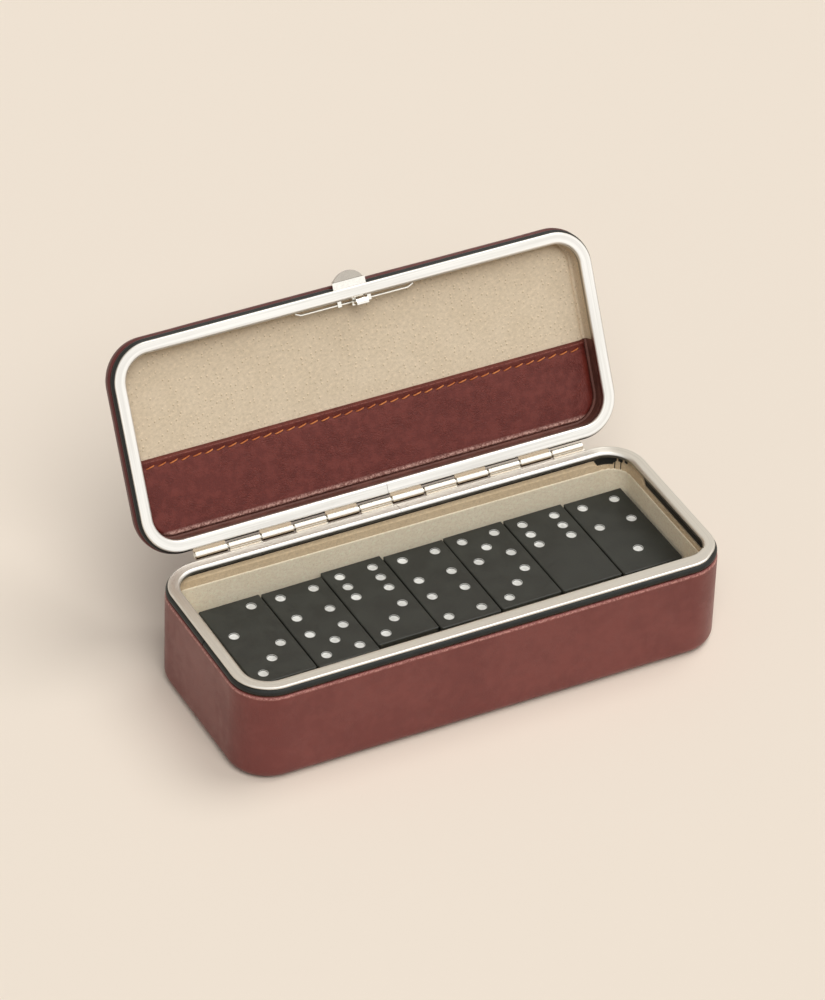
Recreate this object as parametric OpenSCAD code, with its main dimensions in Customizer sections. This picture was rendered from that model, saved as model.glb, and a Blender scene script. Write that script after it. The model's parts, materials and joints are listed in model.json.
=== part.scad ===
// Domino storage box: a leather-covered case with metal rims, a long rolled hinge, a push-button
// clasp and a double-six set of dominoes. Millimetres. X runs along the hinge, Y to the back, Z up.
// The origin is the centre of the underside. The lid is drawn shut and then turned open.

/* [Case] */
// Length of the metal rim along the hinge
rim_l = 154.4; // [150:0.2:165]
// Width of the metal rim, front to back
rim_w = 62.4; // [60:0.2:70]
// Radius of the rim's outer corners
rim_r = 11.6; // [9.5:0.1:14]
// Height of the base, from the underside to the parting plane
base_h = 33.5; // [30:0.5:45]
// Height of the lid, from the parting plane to its top
lid_h = 10; // [9.5:0.1:13]
// How far the base's leather stands out past the rim
leather_proud = 0.85; // [0.6:0.05:1.2]
// How far the lid's padded leather stands out past the rim
lid_proud = 1.3; // [0.9:0.05:1.6]
// Thickness of the covering leather
leather_t = 1.2; // [0.8:0.1:1.4]
// Radius of the base's bottom edge
bottom_r = 3.5; // [2.5:0.1:5]
// Radius of the lid's top edge
crown_r = 5.4; // [4:0.1:6]

/* [Rim] */
// Width of the rim's flat land
land_w = 3.6; // [3.2:0.1:4.5]
// Thickness of the rim's sheet metal
rim_t = 0.5; // [0.4:0.05:0.7]
// Height of the rim's outer bead
bead_h = 0.8; // [0.6:0.05:1.1]
// Depth of the flange inside the base
flange_h = 2.5; // [2:0.1:3]
// Gap between the two lands when the box is shut
land_gap = 0.2; // [0.1:0.05:0.4]
// Height of the piping between the bead and the leather
piping_h = 2.3; // [1.8:0.1:2.8]

/* [Lining] */
// Distance from the rim's outer edge to the lining's face
lining_in = 2.9; // [2.6:0.05:3.2]
// Depth from the parting plane to the top of the lower lining
lining_drop = 7.1; // [5:0.1:10]
// Radius of the lining's upright corners
lining_r = 6; // [5:0.1:8]
// Height of the lid's padded panel above the parting plane
lid_depth = 6.4; // [6:0.1:7]
// Thickness of the lid's padded panel
pad_t = 1.4; // [1:0.1:1.6]
// How far the leather pocket reaches forward, as a Y coordinate of the shut lid
pocket_y = 3.5; // [-10:0.5:15]

/* [Hinge] */
// Angle at which the lid stands open
open_angle = 116.85; // [0:0.05:120]
// Number of knuckles, shared in turn by the lid and the base
knuckles = 12; // [4:2:20]
// Length of the whole hinge
hinge_l = 127.2; // [80:0.2:130]
// Outer diameter of the knuckles
knuckle_d = 2.4; // [2:0.1:2.8]
// Diameter of the hinge pin
pin_d = 1.2; // [0.8:0.1:1.4]
// Distance from the rim's outer edge to the hinge axis
hinge_out = 2; // [1.8:0.1:2.4]

/* [Clasp] */
// Diameter of the half-round button's collar
collar_d = 10.5; // [9:0.1:12]
// Height of the collar in front of the rim
collar_h = 2.2; // [1.8:0.1:3]
// Height of the button's dome in front of the collar
dome_h = 2.8; // [2:0.1:3.5]
// X position of the button
button_x = -0.3; // [-2:0.1:2]
// X position of the latch hook
hook_x = 2; // [1:0.1:3]
// How far the button is pressed
button_travel = 1.4; // [0.8:0.1:1.5]
// Diameter of the spring wire
wire_d = 0.7; // [0.5:0.05:0.7]

/* [Dominoes] */
// Length of a domino
domino_l = 37.5; // [30:0.1:38]
// Width of a domino
domino_w = 19.65; // [17:0.05:19.7]
// Thickness of a domino
domino_t = 4.15; // [3.5:0.05:4.15]
// Distance from one domino to the next
domino_pitch = 20; // [19.9:0.05:20.2]
// Diameter of a pip
pip_d = 3.1; // [2.4:0.1:3.4]
// Depth of a pip
pip_depth = 0.45; // [0.3:0.05:0.7]

/* [Hidden] */
$fn = 48;
eps = 0.01;

// heights
part_z = base_h;
core_out = 0.35;
core_in = 2;
skin_z = 0.3;
core_z = 1.3;
floor_z = 2.9;
felt_t = 0.5;
top_in = 9;
upper_drop = 3.2;
tape_t = 0.12;
roof_z = lid_depth + pad_t;
mouth_z = land_gap / 2 + flange_h + 0.1;
pad_in = 4.4;
pad_r = 1.3;
glue_t = 0.2;
pocket_t = 0.6;
slip = 0.06;
shell_top = bead_h + piping_h;
face_r = lining_r + lining_in;
tray_r = face_r + 1.1;

// hinge
hinge_y = rim_w / 2 + hinge_out;
knuckle_l = hinge_l / knuckles;
knuckle_gap = 0.16;
pin_fit = 0.01;
pin_play = 0.05;
leaf_t = 0.4;
leaf_z = 0.4;
leaf_w = 0.6;

// clasp, in the shut lid
front_y = -rim_w / 2;
inner_y = front_y + land_w;
collar_t = 0.3;
collar_z = 0.3;
button_play = 0.08;
skirt_h = 0.4;
stem_d = 1.6;
stem_x = 0.9;
stem_z = 2;
stem_play = 0.12;
hook_w = 4.4;
hook_block = [0.9, 2.9];
wire_y = inner_y + 1.15;
wire_z = 1.9;
wire_x = [-16.3, 18.3];
wire_bend = 24;
wire_end = 1.95;
wire_lap = 0.12;
catch_t = 0.6;

// dominoes
domino_edge = 0.45;
domino_corner = 0.9;
domino_z = floor_z + felt_t + 0.02;
layer_h = domino_t + 0.02;
set_x = 3.6;
set_y = 6.9;
set_turn = 0.6;
pip_a = 5.36;
pip_b = 5.2;
half_y = 9.35;
paint_t = 0.15;
low_shift = -0.6;
top_shift = [-0.2, -0.5, 1, 0, 0.35, 0.1, -0.5];
top_turn = [0.1, 0.15, 0, -0.25, 0.05, -0.05, -0.1];
top_row = [[2, 3], [4, 5], [6, 3], [4, 4], [5, 3], [6, 0], [4, 1]];
lower_rows = [
    [[0, 0], [1, 0], [2, 0], [3, 0], [4, 0], [5, 0], [1, 1]],
    [[2, 1], [3, 1], [5, 1], [6, 1], [2, 2], [4, 2], [5, 2]],
    [[6, 2], [3, 3], [6, 4], [5, 4], [5, 5], [6, 5], [6, 6]]
];

// ---------------------------------------------------------------- outlines and sweeps

// A rounded rectangle, set in from the rim's outer edge. r is the corner radius at no inset.
module outline(inset = 0, r = rim_r) {
    union() {
        square([rim_l - 2 * r, rim_w - 2 * inset], center = true);
        square([rim_l - 2 * inset, rim_w - 2 * r], center = true);
        for (x = [-1, 1], y = [-1, 1])
            translate([x * (rim_l / 2 - r), y * (rim_w / 2 - r)])
                circle(r - inset);
    }
}

// A plate of that outline, from one height to another.
module plate(inset, low, high, r = rim_r) {
    translate([0, 0, low])
        linear_extrude(high - low)
            outline(inset, r);
}

// Sweeps a profile round the rim. The profile's X is the distance in from the rim's outer edge.
module band(r = rim_r) {
    hx = rim_l / 2 - r;
    hy = rim_w / 2 - r;
    for (q = [0 : 3]) {
        long_side = q % 2 == 1;
        translate([(q == 0 || q == 3) ? hx : -hx, q < 2 ? hy : -hy, 0])
            rotate(90 * q)
                rotate_extrude(angle = 90)
                    translate([r, 0])
                        mirror([1, 0])
                            children();
        rotate(90 * q)
            translate([long_side ? hy : hx, 0, 0])
                rotate([90, 0, 0])
                    linear_extrude(long_side ? 2 * hx : 2 * hy, center = true)
                        translate([r, 0])
                            mirror([1, 0])
                                children();
    }
}

// A rectangle between two corners.
module box2(x, y) {
    translate([x[0], y[0]])
        square([x[1] - x[0], y[1] - y[0]]);
}

// A block between two corners.
module box3(x, y, z) {
    translate([x[0], y[0], z[0]])
        cube([x[1] - x[0], y[1] - y[0], z[1] - z[0]]);
}

// A round bar along X.
module bar_x(x, y, z, d) {
    translate([x[0], y, z])
        rotate([0, 90, 0])
            cylinder(h = x[1] - x[0], d = d);
}

// A round bar along Y.
module bar_y(x, y, z, d) {
    translate([x, y[1], z])
        rotate([90, 0, 0])
            cylinder(h = y[1] - y[0], d = d);
}

// Turns what is drawn for the shut lid about the hinge, to where the lid stands open.
module opened() {
    translate([0, hinge_y, part_z])
        rotate([-open_angle, 0, 0])
            translate([0, -hinge_y, -part_z])
                children();
}

// ---------------------------------------------------------------- profiles

// Channel of folded sheet: land, rounded outer bead and rolled inner flange. Height runs away
// from the parting plane.
module rim_profile(flange) {
    roll_r = 0.9;
    bead_r = 0.4;
    low = land_gap / 2;
    difference() {
        union() {
            box2([bead_r, land_w - roll_r], [low, low + rim_t]);
            box2([0, core_out], [low + bead_r, bead_h]);
            box2([land_w - rim_t, land_w], [low + roll_r, flange]);
            translate([bead_r, low + bead_r])
                intersection() {
                    circle(bead_r);
                    box2([-bead_r, 0], [-bead_r, 0]);
                }
            translate([land_w - roll_r, low + roll_r])
                intersection() {
                    circle(roll_r);
                    box2([0, roll_r], [-roll_r, 0]);
                }
        }
        translate([land_w - roll_r, low + roll_r])
            circle(roll_r - rim_t);
    }
}

// Bead of black piping that fills the step between rim and leather.
module piping_profile() {
    r = piping_h / 2;
    intersection() {
        translate([0.5, bead_h + r])
            circle(r);
        box2([-1, core_out], [bead_h, bead_h + piping_h]);
    }
}

// ---------------------------------------------------------------- base

// Moulded board tray that carries everything.
module base_core() {
    fillet = bottom_r - leather_t;
    depth = part_z - core_z;
    color("burlywood")
        translate([0, 0, part_z])
            mirror([0, 0, 1])
                difference() {
                    union() {
                        plate(core_out, land_gap / 2 + rim_t, depth - fillet);
                        plate(core_out + fillet, depth - fillet - 1, depth);
                        band()
                            translate([core_out + fillet, depth - fillet])
                                intersection() {
                                    circle(fillet);
                                    box2([-fillet, 0], [0, fillet]);
                                }
                    }
                    plate(core_in, 0, part_z - floor_z, tray_r);
                }
}

// Leather wrapped round the sides and turned in under the bottom.
module base_leather() {
    lip_r = 0.55;
    depth = part_z - skin_z;
    fillet = bottom_r - leather_t;
    color("#7a3f3d")
        translate([0, 0, part_z])
            mirror([0, 0, 1])
                band()
                    difference() {
                        union() {
                            box2([-leather_proud, core_out], [shell_top + lip_r, depth - bottom_r]);
                            box2([lip_r - leather_proud, core_out - lip_r],
                                 [shell_top, shell_top + 2 * lip_r]);
                            for (x = [lip_r - leather_proud, core_out - lip_r])
                                translate([x, shell_top + lip_r])
                                    circle(lip_r);
                            box2([bottom_r - leather_proud, top_in], [depth - bottom_r, depth]);
                            translate([bottom_r - leather_proud, depth - bottom_r])
                                intersection() {
                                    circle(bottom_r);
                                    box2([-bottom_r, 0], [-eps, bottom_r]);
                                }
                        }
                        box2([core_out, top_in + 1], [shell_top + 3, part_z - core_z - fillet]);
                        box2([core_out + fillet, top_in + 1], [shell_top + 3, part_z - core_z]);
                        translate([core_out + fillet, part_z - core_z - fillet])
                            circle(fillet);
                    }
}

// Panel that closes the underside over the turned-in edge.
module bottom_panel() {
    color("#5d2f2d")
        union() {
            plate(6, 0, skin_z);
            plate(top_in + 0.1, skin_z, core_z);
        }
}

// Black piping round the top of the base, with its butt joint on the left side.
module base_piping() {
    color("#2b2f2b")
        difference() {
            translate([0, 0, part_z])
                mirror([0, 0, 1])
                    band()
                        piping_profile();
            box3([-rim_l / 2 - 2, 0], [-2.1, -1.9], [part_z - 4, part_z]);
        }
}

// Nickel-plated rim of the base, with its butt joint at the middle of the back.
module base_rim() {
    color("#c9c5bb")
        difference() {
            translate([0, 0, part_z])
                mirror([0, 0, 1])
                    band()
                        rim_profile(land_gap / 2 + flange_h);
            box3([0.5, 0.6], [0, rim_w / 2 + 1], [part_z - 4, part_z]);
        }
}

// Suede on the floor of the tray.
module base_floor_lining() {
    color("#d7c7ad")
        plate(core_in, floor_z, floor_z + felt_t, tray_r);
}

// Padded lower lining of the walls, with a rounded upper edge.
module base_wall_lining() {
    edge_r = 0.4;
    low = floor_z + felt_t;
    top = part_z - lining_drop;
    color("#d7c7ad")
        union() {
            difference() {
                plate(core_in, low, top - edge_r, tray_r);
                plate(lining_in, low - 1, top, face_r);
            }
            difference() {
                plate(core_in, top - edge_r - eps, top, tray_r);
                plate(lining_in - edge_r, low, top + 1, face_r);
            }
            band(face_r)
                translate([lining_in - edge_r, top - edge_r])
                    intersection() {
                        circle(edge_r);
                        box2([0, edge_r], [0, edge_r]);
                    }
        }
}

// Upper lining, a little behind the lower one. It stands lower along the right-hand wall.
module base_upper_lining() {
    back = core_in + tape_t;
    face = lining_in - 0.2;
    low_from = -18;
    low_to = 14;
    top = part_z - upper_drop;
    edge_r = 0.28;
    color("#cbb08f")
        difference() {
            band(tray_r)
                union() {
                    box2([back, face], [part_z - lining_drop, top - edge_r]);
                    box2([back + edge_r, face - edge_r], [top - edge_r - eps, top]);
                    for (x = [back + edge_r, face - edge_r])
                        translate([x, top - edge_r])
                            circle(edge_r);
                }
            box3([rim_l / 2 - 6, rim_l / 2], [low_from, low_to], [top - 0.8, top + 1]);
        }
}

// Black tape over the board's upper edge, seen through the gap under the rim.
module base_edge_tape() {
    color("#23231f")
        band(tray_r)
            box2([core_in, core_in + tape_t], [part_z - lining_drop, part_z - 1.2]);
}

// One leaf of the hinge. It holds every other knuckle; first is 0 or 1.
module hinge_leaf(first, bore_d) {
    step = 2 * knuckle_l;
    difference() {
        union() {
            box3([-hinge_l / 2, hinge_l / 2], [rim_w / 2, rim_w / 2 + leaf_w],
                 [leaf_z, leaf_z + leaf_t]);
            for (i = [first : 2 : knuckles - 1]) {
                x0 = -hinge_l / 2 + i * knuckle_l + knuckle_gap / 2;
                x1 = x0 + knuckle_l - knuckle_gap;
                box3([x0, x1], [rim_w / 2 + leaf_w - eps, hinge_y - pin_d / 2 - 0.1],
                     [leaf_z, leaf_z + leaf_t]);
                bar_x([x0, x1], hinge_y, 0, knuckle_d);
            }
        }
        bar_x([-hinge_l / 2 - 1, hinge_l / 2 + 1], hinge_y, 0, bore_d);
    }
}

module base_hinge_leaf() {
    color("#d2cec4")
        translate([0, 0, part_z])
            mirror([0, 0, 1])
                hinge_leaf(1, pin_d + 2 * pin_fit);
}

module hinge_pin() {
    color("#b9b5ab")
        bar_x([-hinge_l / 2 + 0.05, hinge_l / 2 - 0.05], hinge_y, part_z, pin_d);
}

// Plate with a window that the latch hook springs into.
module catch_plate() {
    color("#c9c5bb")
        translate([0, 0, part_z])
            difference() {
                box3([hook_x - 4, hook_x + 4], [inner_y, inner_y + catch_t],
                     [-land_gap / 2 - flange_h, -1 - eps]);
                box3([hook_x - 2.7, hook_x + 2.7], [inner_y - 1, inner_y + catch_t + 1],
                     [-2.3, -1.25]);
            }
}

// ---------------------------------------------------------------- lid, drawn shut

// Plate with a rounded upper edge, as the crown of the lid has.
module crown(inset, r, low, high) {
    union() {
        if (low < high - r) plate(inset, low, high - r);
        plate(inset + r, high - r - 1, high);
        band()
            translate([inset + r, high - r])
                intersection() {
                    circle(r);
                    box2([-r, 0], [0, r]);
                }
    }
}

// Moulded board shell under the lid's leather.
module lid_core() {
    r = crown_r - leather_t;
    color("burlywood")
        opened()
            translate([0, 0, part_z])
                difference() {
                    union() {
                        crown(leather_t - lid_proud, r, lid_h, lid_h - leather_t);
                        plate(core_out, land_gap / 2 + rim_t, lid_h - crown_r + eps);
                    }
                    plate(core_in, -1, roof_z);
                    clasp_clearance();
                }
}

// Soft padded leather over the lid, turned in above the piping.
module lid_leather() {
    lip_r = 0.7;
    side_z = lid_h - crown_r;
    color("#7a3f3d")
        opened()
            translate([0, 0, part_z])
                difference() {
                    union() {
                        crown(-lid_proud, crown_r, shell_top + lip_r, lid_h);
                        band()
                            union() {
                                box2([lip_r - lid_proud, core_out + 1],
                                     [shell_top, shell_top + lip_r + eps]);
                                translate([lip_r - lid_proud, shell_top + lip_r])
                                    intersection() {
                                        circle(lip_r);
                                        box2([-lip_r, 0], [-lip_r, 0]);
                                    }
                            }
                    }
                    plate(core_out, 0, side_z);
                    crown(leather_t - lid_proud, crown_r - leather_t, lid_h, lid_h - leather_t);
                    clasp_clearance();
                }
}

module lid_piping() {
    color("#2b2f2b")
        opened()
            translate([0, 0, part_z])
                difference() {
                    band()
                        piping_profile();
                    clasp_clearance();
                }
}

// Rim of the lid, with its butt joint at the middle of the hinge side.
module lid_rim() {
    color("#e6e3db")
        opened()
            translate([0, 0, part_z])
                difference() {
                    band()
                        rim_profile(land_gap / 2 + flange_h - 0.3);
                    box3([-0.4, -0.3], [0, rim_w / 2 + 1], [-1, 4]);
                    stem_bore();
                }
}

// Suede in the lid: walls, a narrow valley and a padded panel with rounded edges.
module lid_lining() {
    color("#cab798")
        opened()
            translate([0, 0, part_z])
                difference() {
                    union() {
                        band()
                            union() {
                                box2([core_in, lining_in], [mouth_z, roof_z]);
                                box2([core_in, pad_in + pad_r], [roof_z - glue_t, roof_z]);
                                box2([pad_in, pad_in + pad_r], [lid_depth + pad_r, roof_z]);
                                translate([pad_in + pad_r, lid_depth + pad_r])
                                    intersection() {
                                        circle(pad_r);
                                        box2([-pad_r, 0], [-pad_r, 0]);
                                    }
                            }
                        plate(pad_in + pad_r, lid_depth, roof_z);
                    }
                    stem_bore();
                }
}

// Leather pocket over the hinge side of the panel, with a folded front edge.
module lid_pocket() {
    wall = 0.4;
    valley = roof_z - glue_t;
    edge_z = lid_depth + pad_r;
    hem_r = 0.5;
    hem_z = lid_depth - hem_r - 0.05;
    hem_x = rim_l / 2 - pad_in - pad_r;
    color("#6f3431")
        opened()
            translate([0, 0, part_z])
                intersection() {
                    union() {
                        band()
                            union() {
                                box2([lining_in + slip, lining_in + wall], [mouth_z, valley]);
                                box2([lining_in + slip, pad_in - slip],
                                     [valley - wall, valley]);
                                translate([pad_in + pad_r, edge_z])
                                    difference() {
                                        intersection() {
                                            circle(pad_r + pocket_t);
                                            box2([-pad_r - pocket_t, 0],
                                                 [-pad_r - pocket_t, valley - edge_z]);
                                        }
                                        circle(pad_r + slip);
                                    }
                            }
                        plate(pad_in + pad_r, lid_depth - pocket_t, lid_depth);
                        bar_x([-hem_x, hem_x], pocket_y + hem_r, hem_z, 2 * hem_r);
                    }
                    box3([-rim_l / 2, rim_l / 2], [pocket_y, rim_w / 2], [0, lid_h]);
                }
}

module lid_hinge_leaf() {
    color("#dedad1")
        opened()
            translate([0, 0, part_z])
                hinge_leaf(0, pin_d + 2 * pin_play);
}

// ---------------------------------------------------------------- clasp, drawn on the shut lid

// Half-round outline of the clasp, flat towards the parting plane.
module half_round(r, flat_z) {
    intersection() {
        circle(r);
        box2([-r - 1, r + 1], [flat_z, r + 1]);
    }
}

// Lays a flat shape against the front, from one depth to another.
module on_front(y) {
    translate([button_x, y[1], 0])
        rotate([90, 0, 0])
            linear_extrude(y[1] - y[0])
                children();
}

// Bore for the stem through the front wall.
module stem_bore() {
    bar_y(stem_x, [front_y - 4, inner_y + 2], stem_z, stem_d + 2 * stem_play);
}

// Room for the collar in the piping and leather, with the bore behind it.
module clasp_clearance() {
    on_front([front_y - 4, front_y + 0.1])
        half_round(collar_d / 2 + 0.1, 0);
    stem_bore();
}

// Half-round collar that guides the button.
module clasp_collar() {
    y0 = front_y - collar_h;
    color("#e0ddd5")
        opened()
            translate([0, 0, part_z])
                difference() {
                    on_front([y0, front_y])
                        half_round(collar_d / 2, collar_z);
                    on_front([y0 - 1, front_y - collar_t])
                        half_round(collar_d / 2 - collar_t, collar_z + collar_t);
                    bar_y(stem_x, [y0, inner_y], stem_z, stem_d + 2 * stem_play);
                }
}

// Domed half-round button that sinks into the collar.
module push_button() {
    r = collar_d / 2 - collar_t - button_play;
    edge_r = r + 0.06;
    flat_z = collar_z + collar_t + button_play;
    y0 = front_y - collar_h;
    ball_r = (edge_r * edge_r + dome_h * dome_h) / (2 * dome_h);
    color("#c4c1b8")
        opened()
            translate([0, 0, part_z])
                intersection() {
                    translate([button_x, y0 - dome_h + ball_r, 0])
                        sphere(ball_r);
                    on_front([y0 - dome_h - 1, y0 + skirt_h])
                        half_round(r, flat_z);
                }
}

// Stem that carries the hook through the front wall.
module button_stem() {
    color("#b9b5ab")
        opened()
            translate([0, 0, part_z])
                bar_y(stem_x, [front_y - collar_h + skirt_h, inner_y + 0.4], stem_z, stem_d);
}

// Hook: a block on the spring wire, an arm down past the parting plane and a barb.
module latch_hook() {
    y0 = inner_y + 0.4;
    arm_y = [y0 + 0.5, y0 + 1.3];
    color("#d8d5cc")
        opened()
            translate([0, 0, part_z])
                difference() {
                    union() {
                        box3([hook_x - hook_w / 2, hook_x + hook_w / 2], [y0, y0 + 1.7],
                             hook_block);
                        box3([hook_x - 1.9, hook_x + 1.9], arm_y, [-2.1, hook_block[0] + eps]);
                        translate([hook_x - 1.9, 0, 0])
                            rotate([90, 0, 90])
                                linear_extrude(3.8)
                                    polygon([[arm_y[0] + eps, -1.45], [y0 - 0.25, -1.45],
                                             [y0 - 0.25, -1.6], [arm_y[0] + eps, -2.1]]);
                    }
                    bar_x([hook_x - 3, hook_x + 3], wire_y, wire_z, wire_d + 0.1);
                }
}

// Bent spring wire behind the front flange, with its two ends turned out against it.
module clasp_spring() {
    middle = (wire_x[0] + wire_x[1]) / 2;
    reach = (wire_x[1] - wire_x[0]) / 2;
    color("#e0ddd5")
        opened()
            translate([middle, wire_y, part_z + wire_z])
                union() {
                    bar_x([-reach - wire_lap, reach + wire_lap], 0, 0, wire_d);
                    for (side = [0, 1])
                        mirror([side, 0, 0])
                            translate([reach, 0, 0])
                                rotate(-wire_bend)
                                    bar_x([-wire_lap, wire_end], 0, 0, wire_d);
                }
}

// Two stub clips that hold the wire to the flange.
module spring_clips() {
    color("#e6e3db")
        opened()
            translate([0, 0, part_z])
                for (x = [-4, 5.6])
                    difference() {
                        box3([x - 0.6, x + 0.6], [inner_y, wire_y + 0.55], [1.3, 2.4]);
                        bar_x([x - 1, x + 1], wire_y, wire_z, wire_d + 0.02);
                    }
}

// ---------------------------------------------------------------- dominoes

// Where the pips of a half stand, by its number. The halves read along the domino.
function pip_spots(n) =
    n == 1 ? [[0, 0]] :
    n == 2 ? [[1, 1], [-1, -1]] :
    n == 3 ? [[1, 1], [0, 0], [-1, -1]] :
    n == 4 ? [[1, 1], [1, -1], [-1, 1], [-1, -1]] :
    n == 5 ? [[1, 1], [1, -1], [0, 0], [-1, 1], [-1, -1]] :
    n == 6 ? [[1, 1], [1, 0], [1, -1], [-1, 1], [-1, 0], [-1, -1]] : [];

// Round spots of one domino, from one height to another.
module pips(halves, d, low, high) {
    for (h = [0, 1], p = pip_spots(halves[h]))
        translate([p[0] * pip_a, (h == 0 ? half_y : -half_y) + p[1] * pip_b, low])
            cylinder(h = high - low, d = d);
}

// Blank with softened edges.
module blank() {
    e = domino_edge;
    intersection() {
        linear_extrude(domino_t)
            softened(domino_w, domino_l, domino_corner);
        translate([0, domino_l / 2, domino_t / 2])
            rotate([90, 0, 0])
                linear_extrude(domino_l)
                    softened(domino_w, domino_t, e);
        translate([-domino_w / 2, 0, domino_t / 2])
            rotate([90, 0, 90])
                linear_extrude(domino_w)
                    softened(domino_l, domino_t, e);
    }
}

// A rectangle about the origin with rounded corners.
module softened(l, w, r) {
    union() {
        square([l - 2 * r, w], center = true);
        square([l, w - 2 * r], center = true);
        for (x = [-1, 1], y = [-1, 1])
            translate([x * (l / 2 - r), y * (w / 2 - r)])
                circle(r);
    }
}

module domino(halves) {
    color("#3f403b")
        difference() {
            blank();
            pips(halves, pip_d, domino_t - pip_depth, domino_t + 1);
        }
}

module paint(halves) {
    color("#e4e2dc")
        pips(halves, pip_d - 0.02, domino_t - pip_depth, domino_t - pip_depth + paint_t);
}

// Puts a domino in its place: layer counts from the floor, i from the left.
module placed(layer, i) {
    top = layer == 3;
    translate([set_x, set_y, domino_z + layer * layer_h])
        rotate(set_turn)
            translate([(i - 3) * domino_pitch, top ? top_shift[i] : low_shift, 0])
                rotate(top ? top_turn[i] : 0)
                    children();
}

module domino_layer(layer) {
    for (i = [0 : 6])
        placed(layer, i)
            domino(lower_rows[layer][i]);
}

module layer_pips(layer) {
    for (i = [0 : 6])
        placed(layer, i)
            paint(lower_rows[layer][i]);
}

module top_domino(i) {
    placed(3, i)
        domino(top_row[i]);
}

module top_pips(i) {
    placed(3, i)
        paint(top_row[i]);
}

// ---------------------------------------------------------------- output

base_core();
base_leather();
bottom_panel();
base_piping();
base_rim();
base_floor_lining();
base_wall_lining();
base_upper_lining();
base_edge_tape();
base_hinge_leaf();
hinge_pin();
catch_plate();
for (k = [0 : 2]) {
    domino_layer(k);
    layer_pips(k);
}
lid_core();
lid_leather();
lid_piping();
lid_rim();
lid_lining();
lid_pocket();
lid_hinge_leaf();
clasp_collar();
clasp_spring();
spring_clips();
push_button();
button_stem();
latch_hook();
for (k = [0 : 6]) {
    top_domino(k);
    top_pips(k);
}
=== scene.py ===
"""Looks of the domino storage box.

A leather-covered case with nickel-plated rims, a rolled hinge, a push-button clasp, suede linings
and a set of black dominoes. The frame gives the solids, the joints and every place. The classes
below build the finer meshes over them and dress each node. Lengths are millimetres in the classes
and metres in the meshes.
"""

import json
import logging
import math
from collections.abc import Callable, Iterable, Sequence
from dataclasses import dataclass, field
from enum import Enum

import bmesh
import bpy
import numpy as np
from mathutils import Matrix, Vector, noise


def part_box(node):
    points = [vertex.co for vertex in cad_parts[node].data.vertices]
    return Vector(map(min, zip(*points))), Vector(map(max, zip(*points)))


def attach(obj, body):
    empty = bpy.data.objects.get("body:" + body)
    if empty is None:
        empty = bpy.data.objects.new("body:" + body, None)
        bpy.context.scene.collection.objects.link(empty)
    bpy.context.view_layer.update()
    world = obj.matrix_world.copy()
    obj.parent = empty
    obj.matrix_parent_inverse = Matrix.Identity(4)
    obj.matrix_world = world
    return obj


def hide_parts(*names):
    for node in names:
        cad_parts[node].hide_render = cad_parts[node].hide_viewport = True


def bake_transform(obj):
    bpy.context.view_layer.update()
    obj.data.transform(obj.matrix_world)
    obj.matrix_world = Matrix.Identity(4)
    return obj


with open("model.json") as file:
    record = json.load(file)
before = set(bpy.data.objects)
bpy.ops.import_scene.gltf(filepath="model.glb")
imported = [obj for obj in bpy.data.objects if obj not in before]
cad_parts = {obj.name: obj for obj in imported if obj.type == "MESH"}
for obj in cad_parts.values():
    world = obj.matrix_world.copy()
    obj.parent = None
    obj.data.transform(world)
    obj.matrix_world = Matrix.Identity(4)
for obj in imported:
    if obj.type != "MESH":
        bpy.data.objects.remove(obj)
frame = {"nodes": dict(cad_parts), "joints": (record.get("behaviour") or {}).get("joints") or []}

LOG = logging.getLogger("domino_box")
MM = 0.001
SHARP_ANGLE = math.radians(38)
FACING = 0.999
SEAM_REACH = 1.2
MIDDLE_RINGS = (0.96, 0.9, 0.8, 0.68, 0.55, 0.42, 0.3, 0.18, 0.08)

Color = tuple[float, float, float]
Ends = tuple[float, float]
Profile = list[tuple[float, float]]
Faces = list[tuple[int, ...]]
Warp = Callable[[np.ndarray], np.ndarray]
Socket = bpy.types.NodeSocket


class Body(Enum):
    """Bodies of the frame that pieces ride on."""

    BASE = "base"
    LID = "lid"
    CLASP = "clasp"


class Slot(Enum):
    """Material slots of the record."""

    COVERING = "covering_leather"
    UNDERSIDE = "underside_leather"
    POCKET = "pocket_leather"
    BOARD = "board"
    PIPING = "piping"
    NICKEL = "nickel"
    BRIGHT = "bright_nickel"
    WIRE = "wire"
    SUEDE = "suede"
    LID_SUEDE = "lid_suede"
    UPPER_SUEDE = "upper_suede"
    TAPE = "tape"
    DOMINO = "domino"
    PAINT = "pip_paint"


def srgb(red: float, green: float, blue: float) -> Color:
    """Turns a colour as seen on a screen, 0 to 255, into linear values.

    Args:
        red, green, blue: Screen values.

    Returns:
        The linear colour.
    """
    shares = [channel / 255 for channel in (red, green, blue)]
    return tuple(
        share / 12.92 if share <= 0.04045 else ((share + 0.055) / 1.055) ** 2.4
        for share in shares
    )


def shade(color: Color, times: float) -> Color:
    """The same linear colour, darker or lighter."""
    return tuple(min(1.0, channel * times) for channel in color)


# ---------- shared sizes


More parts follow.
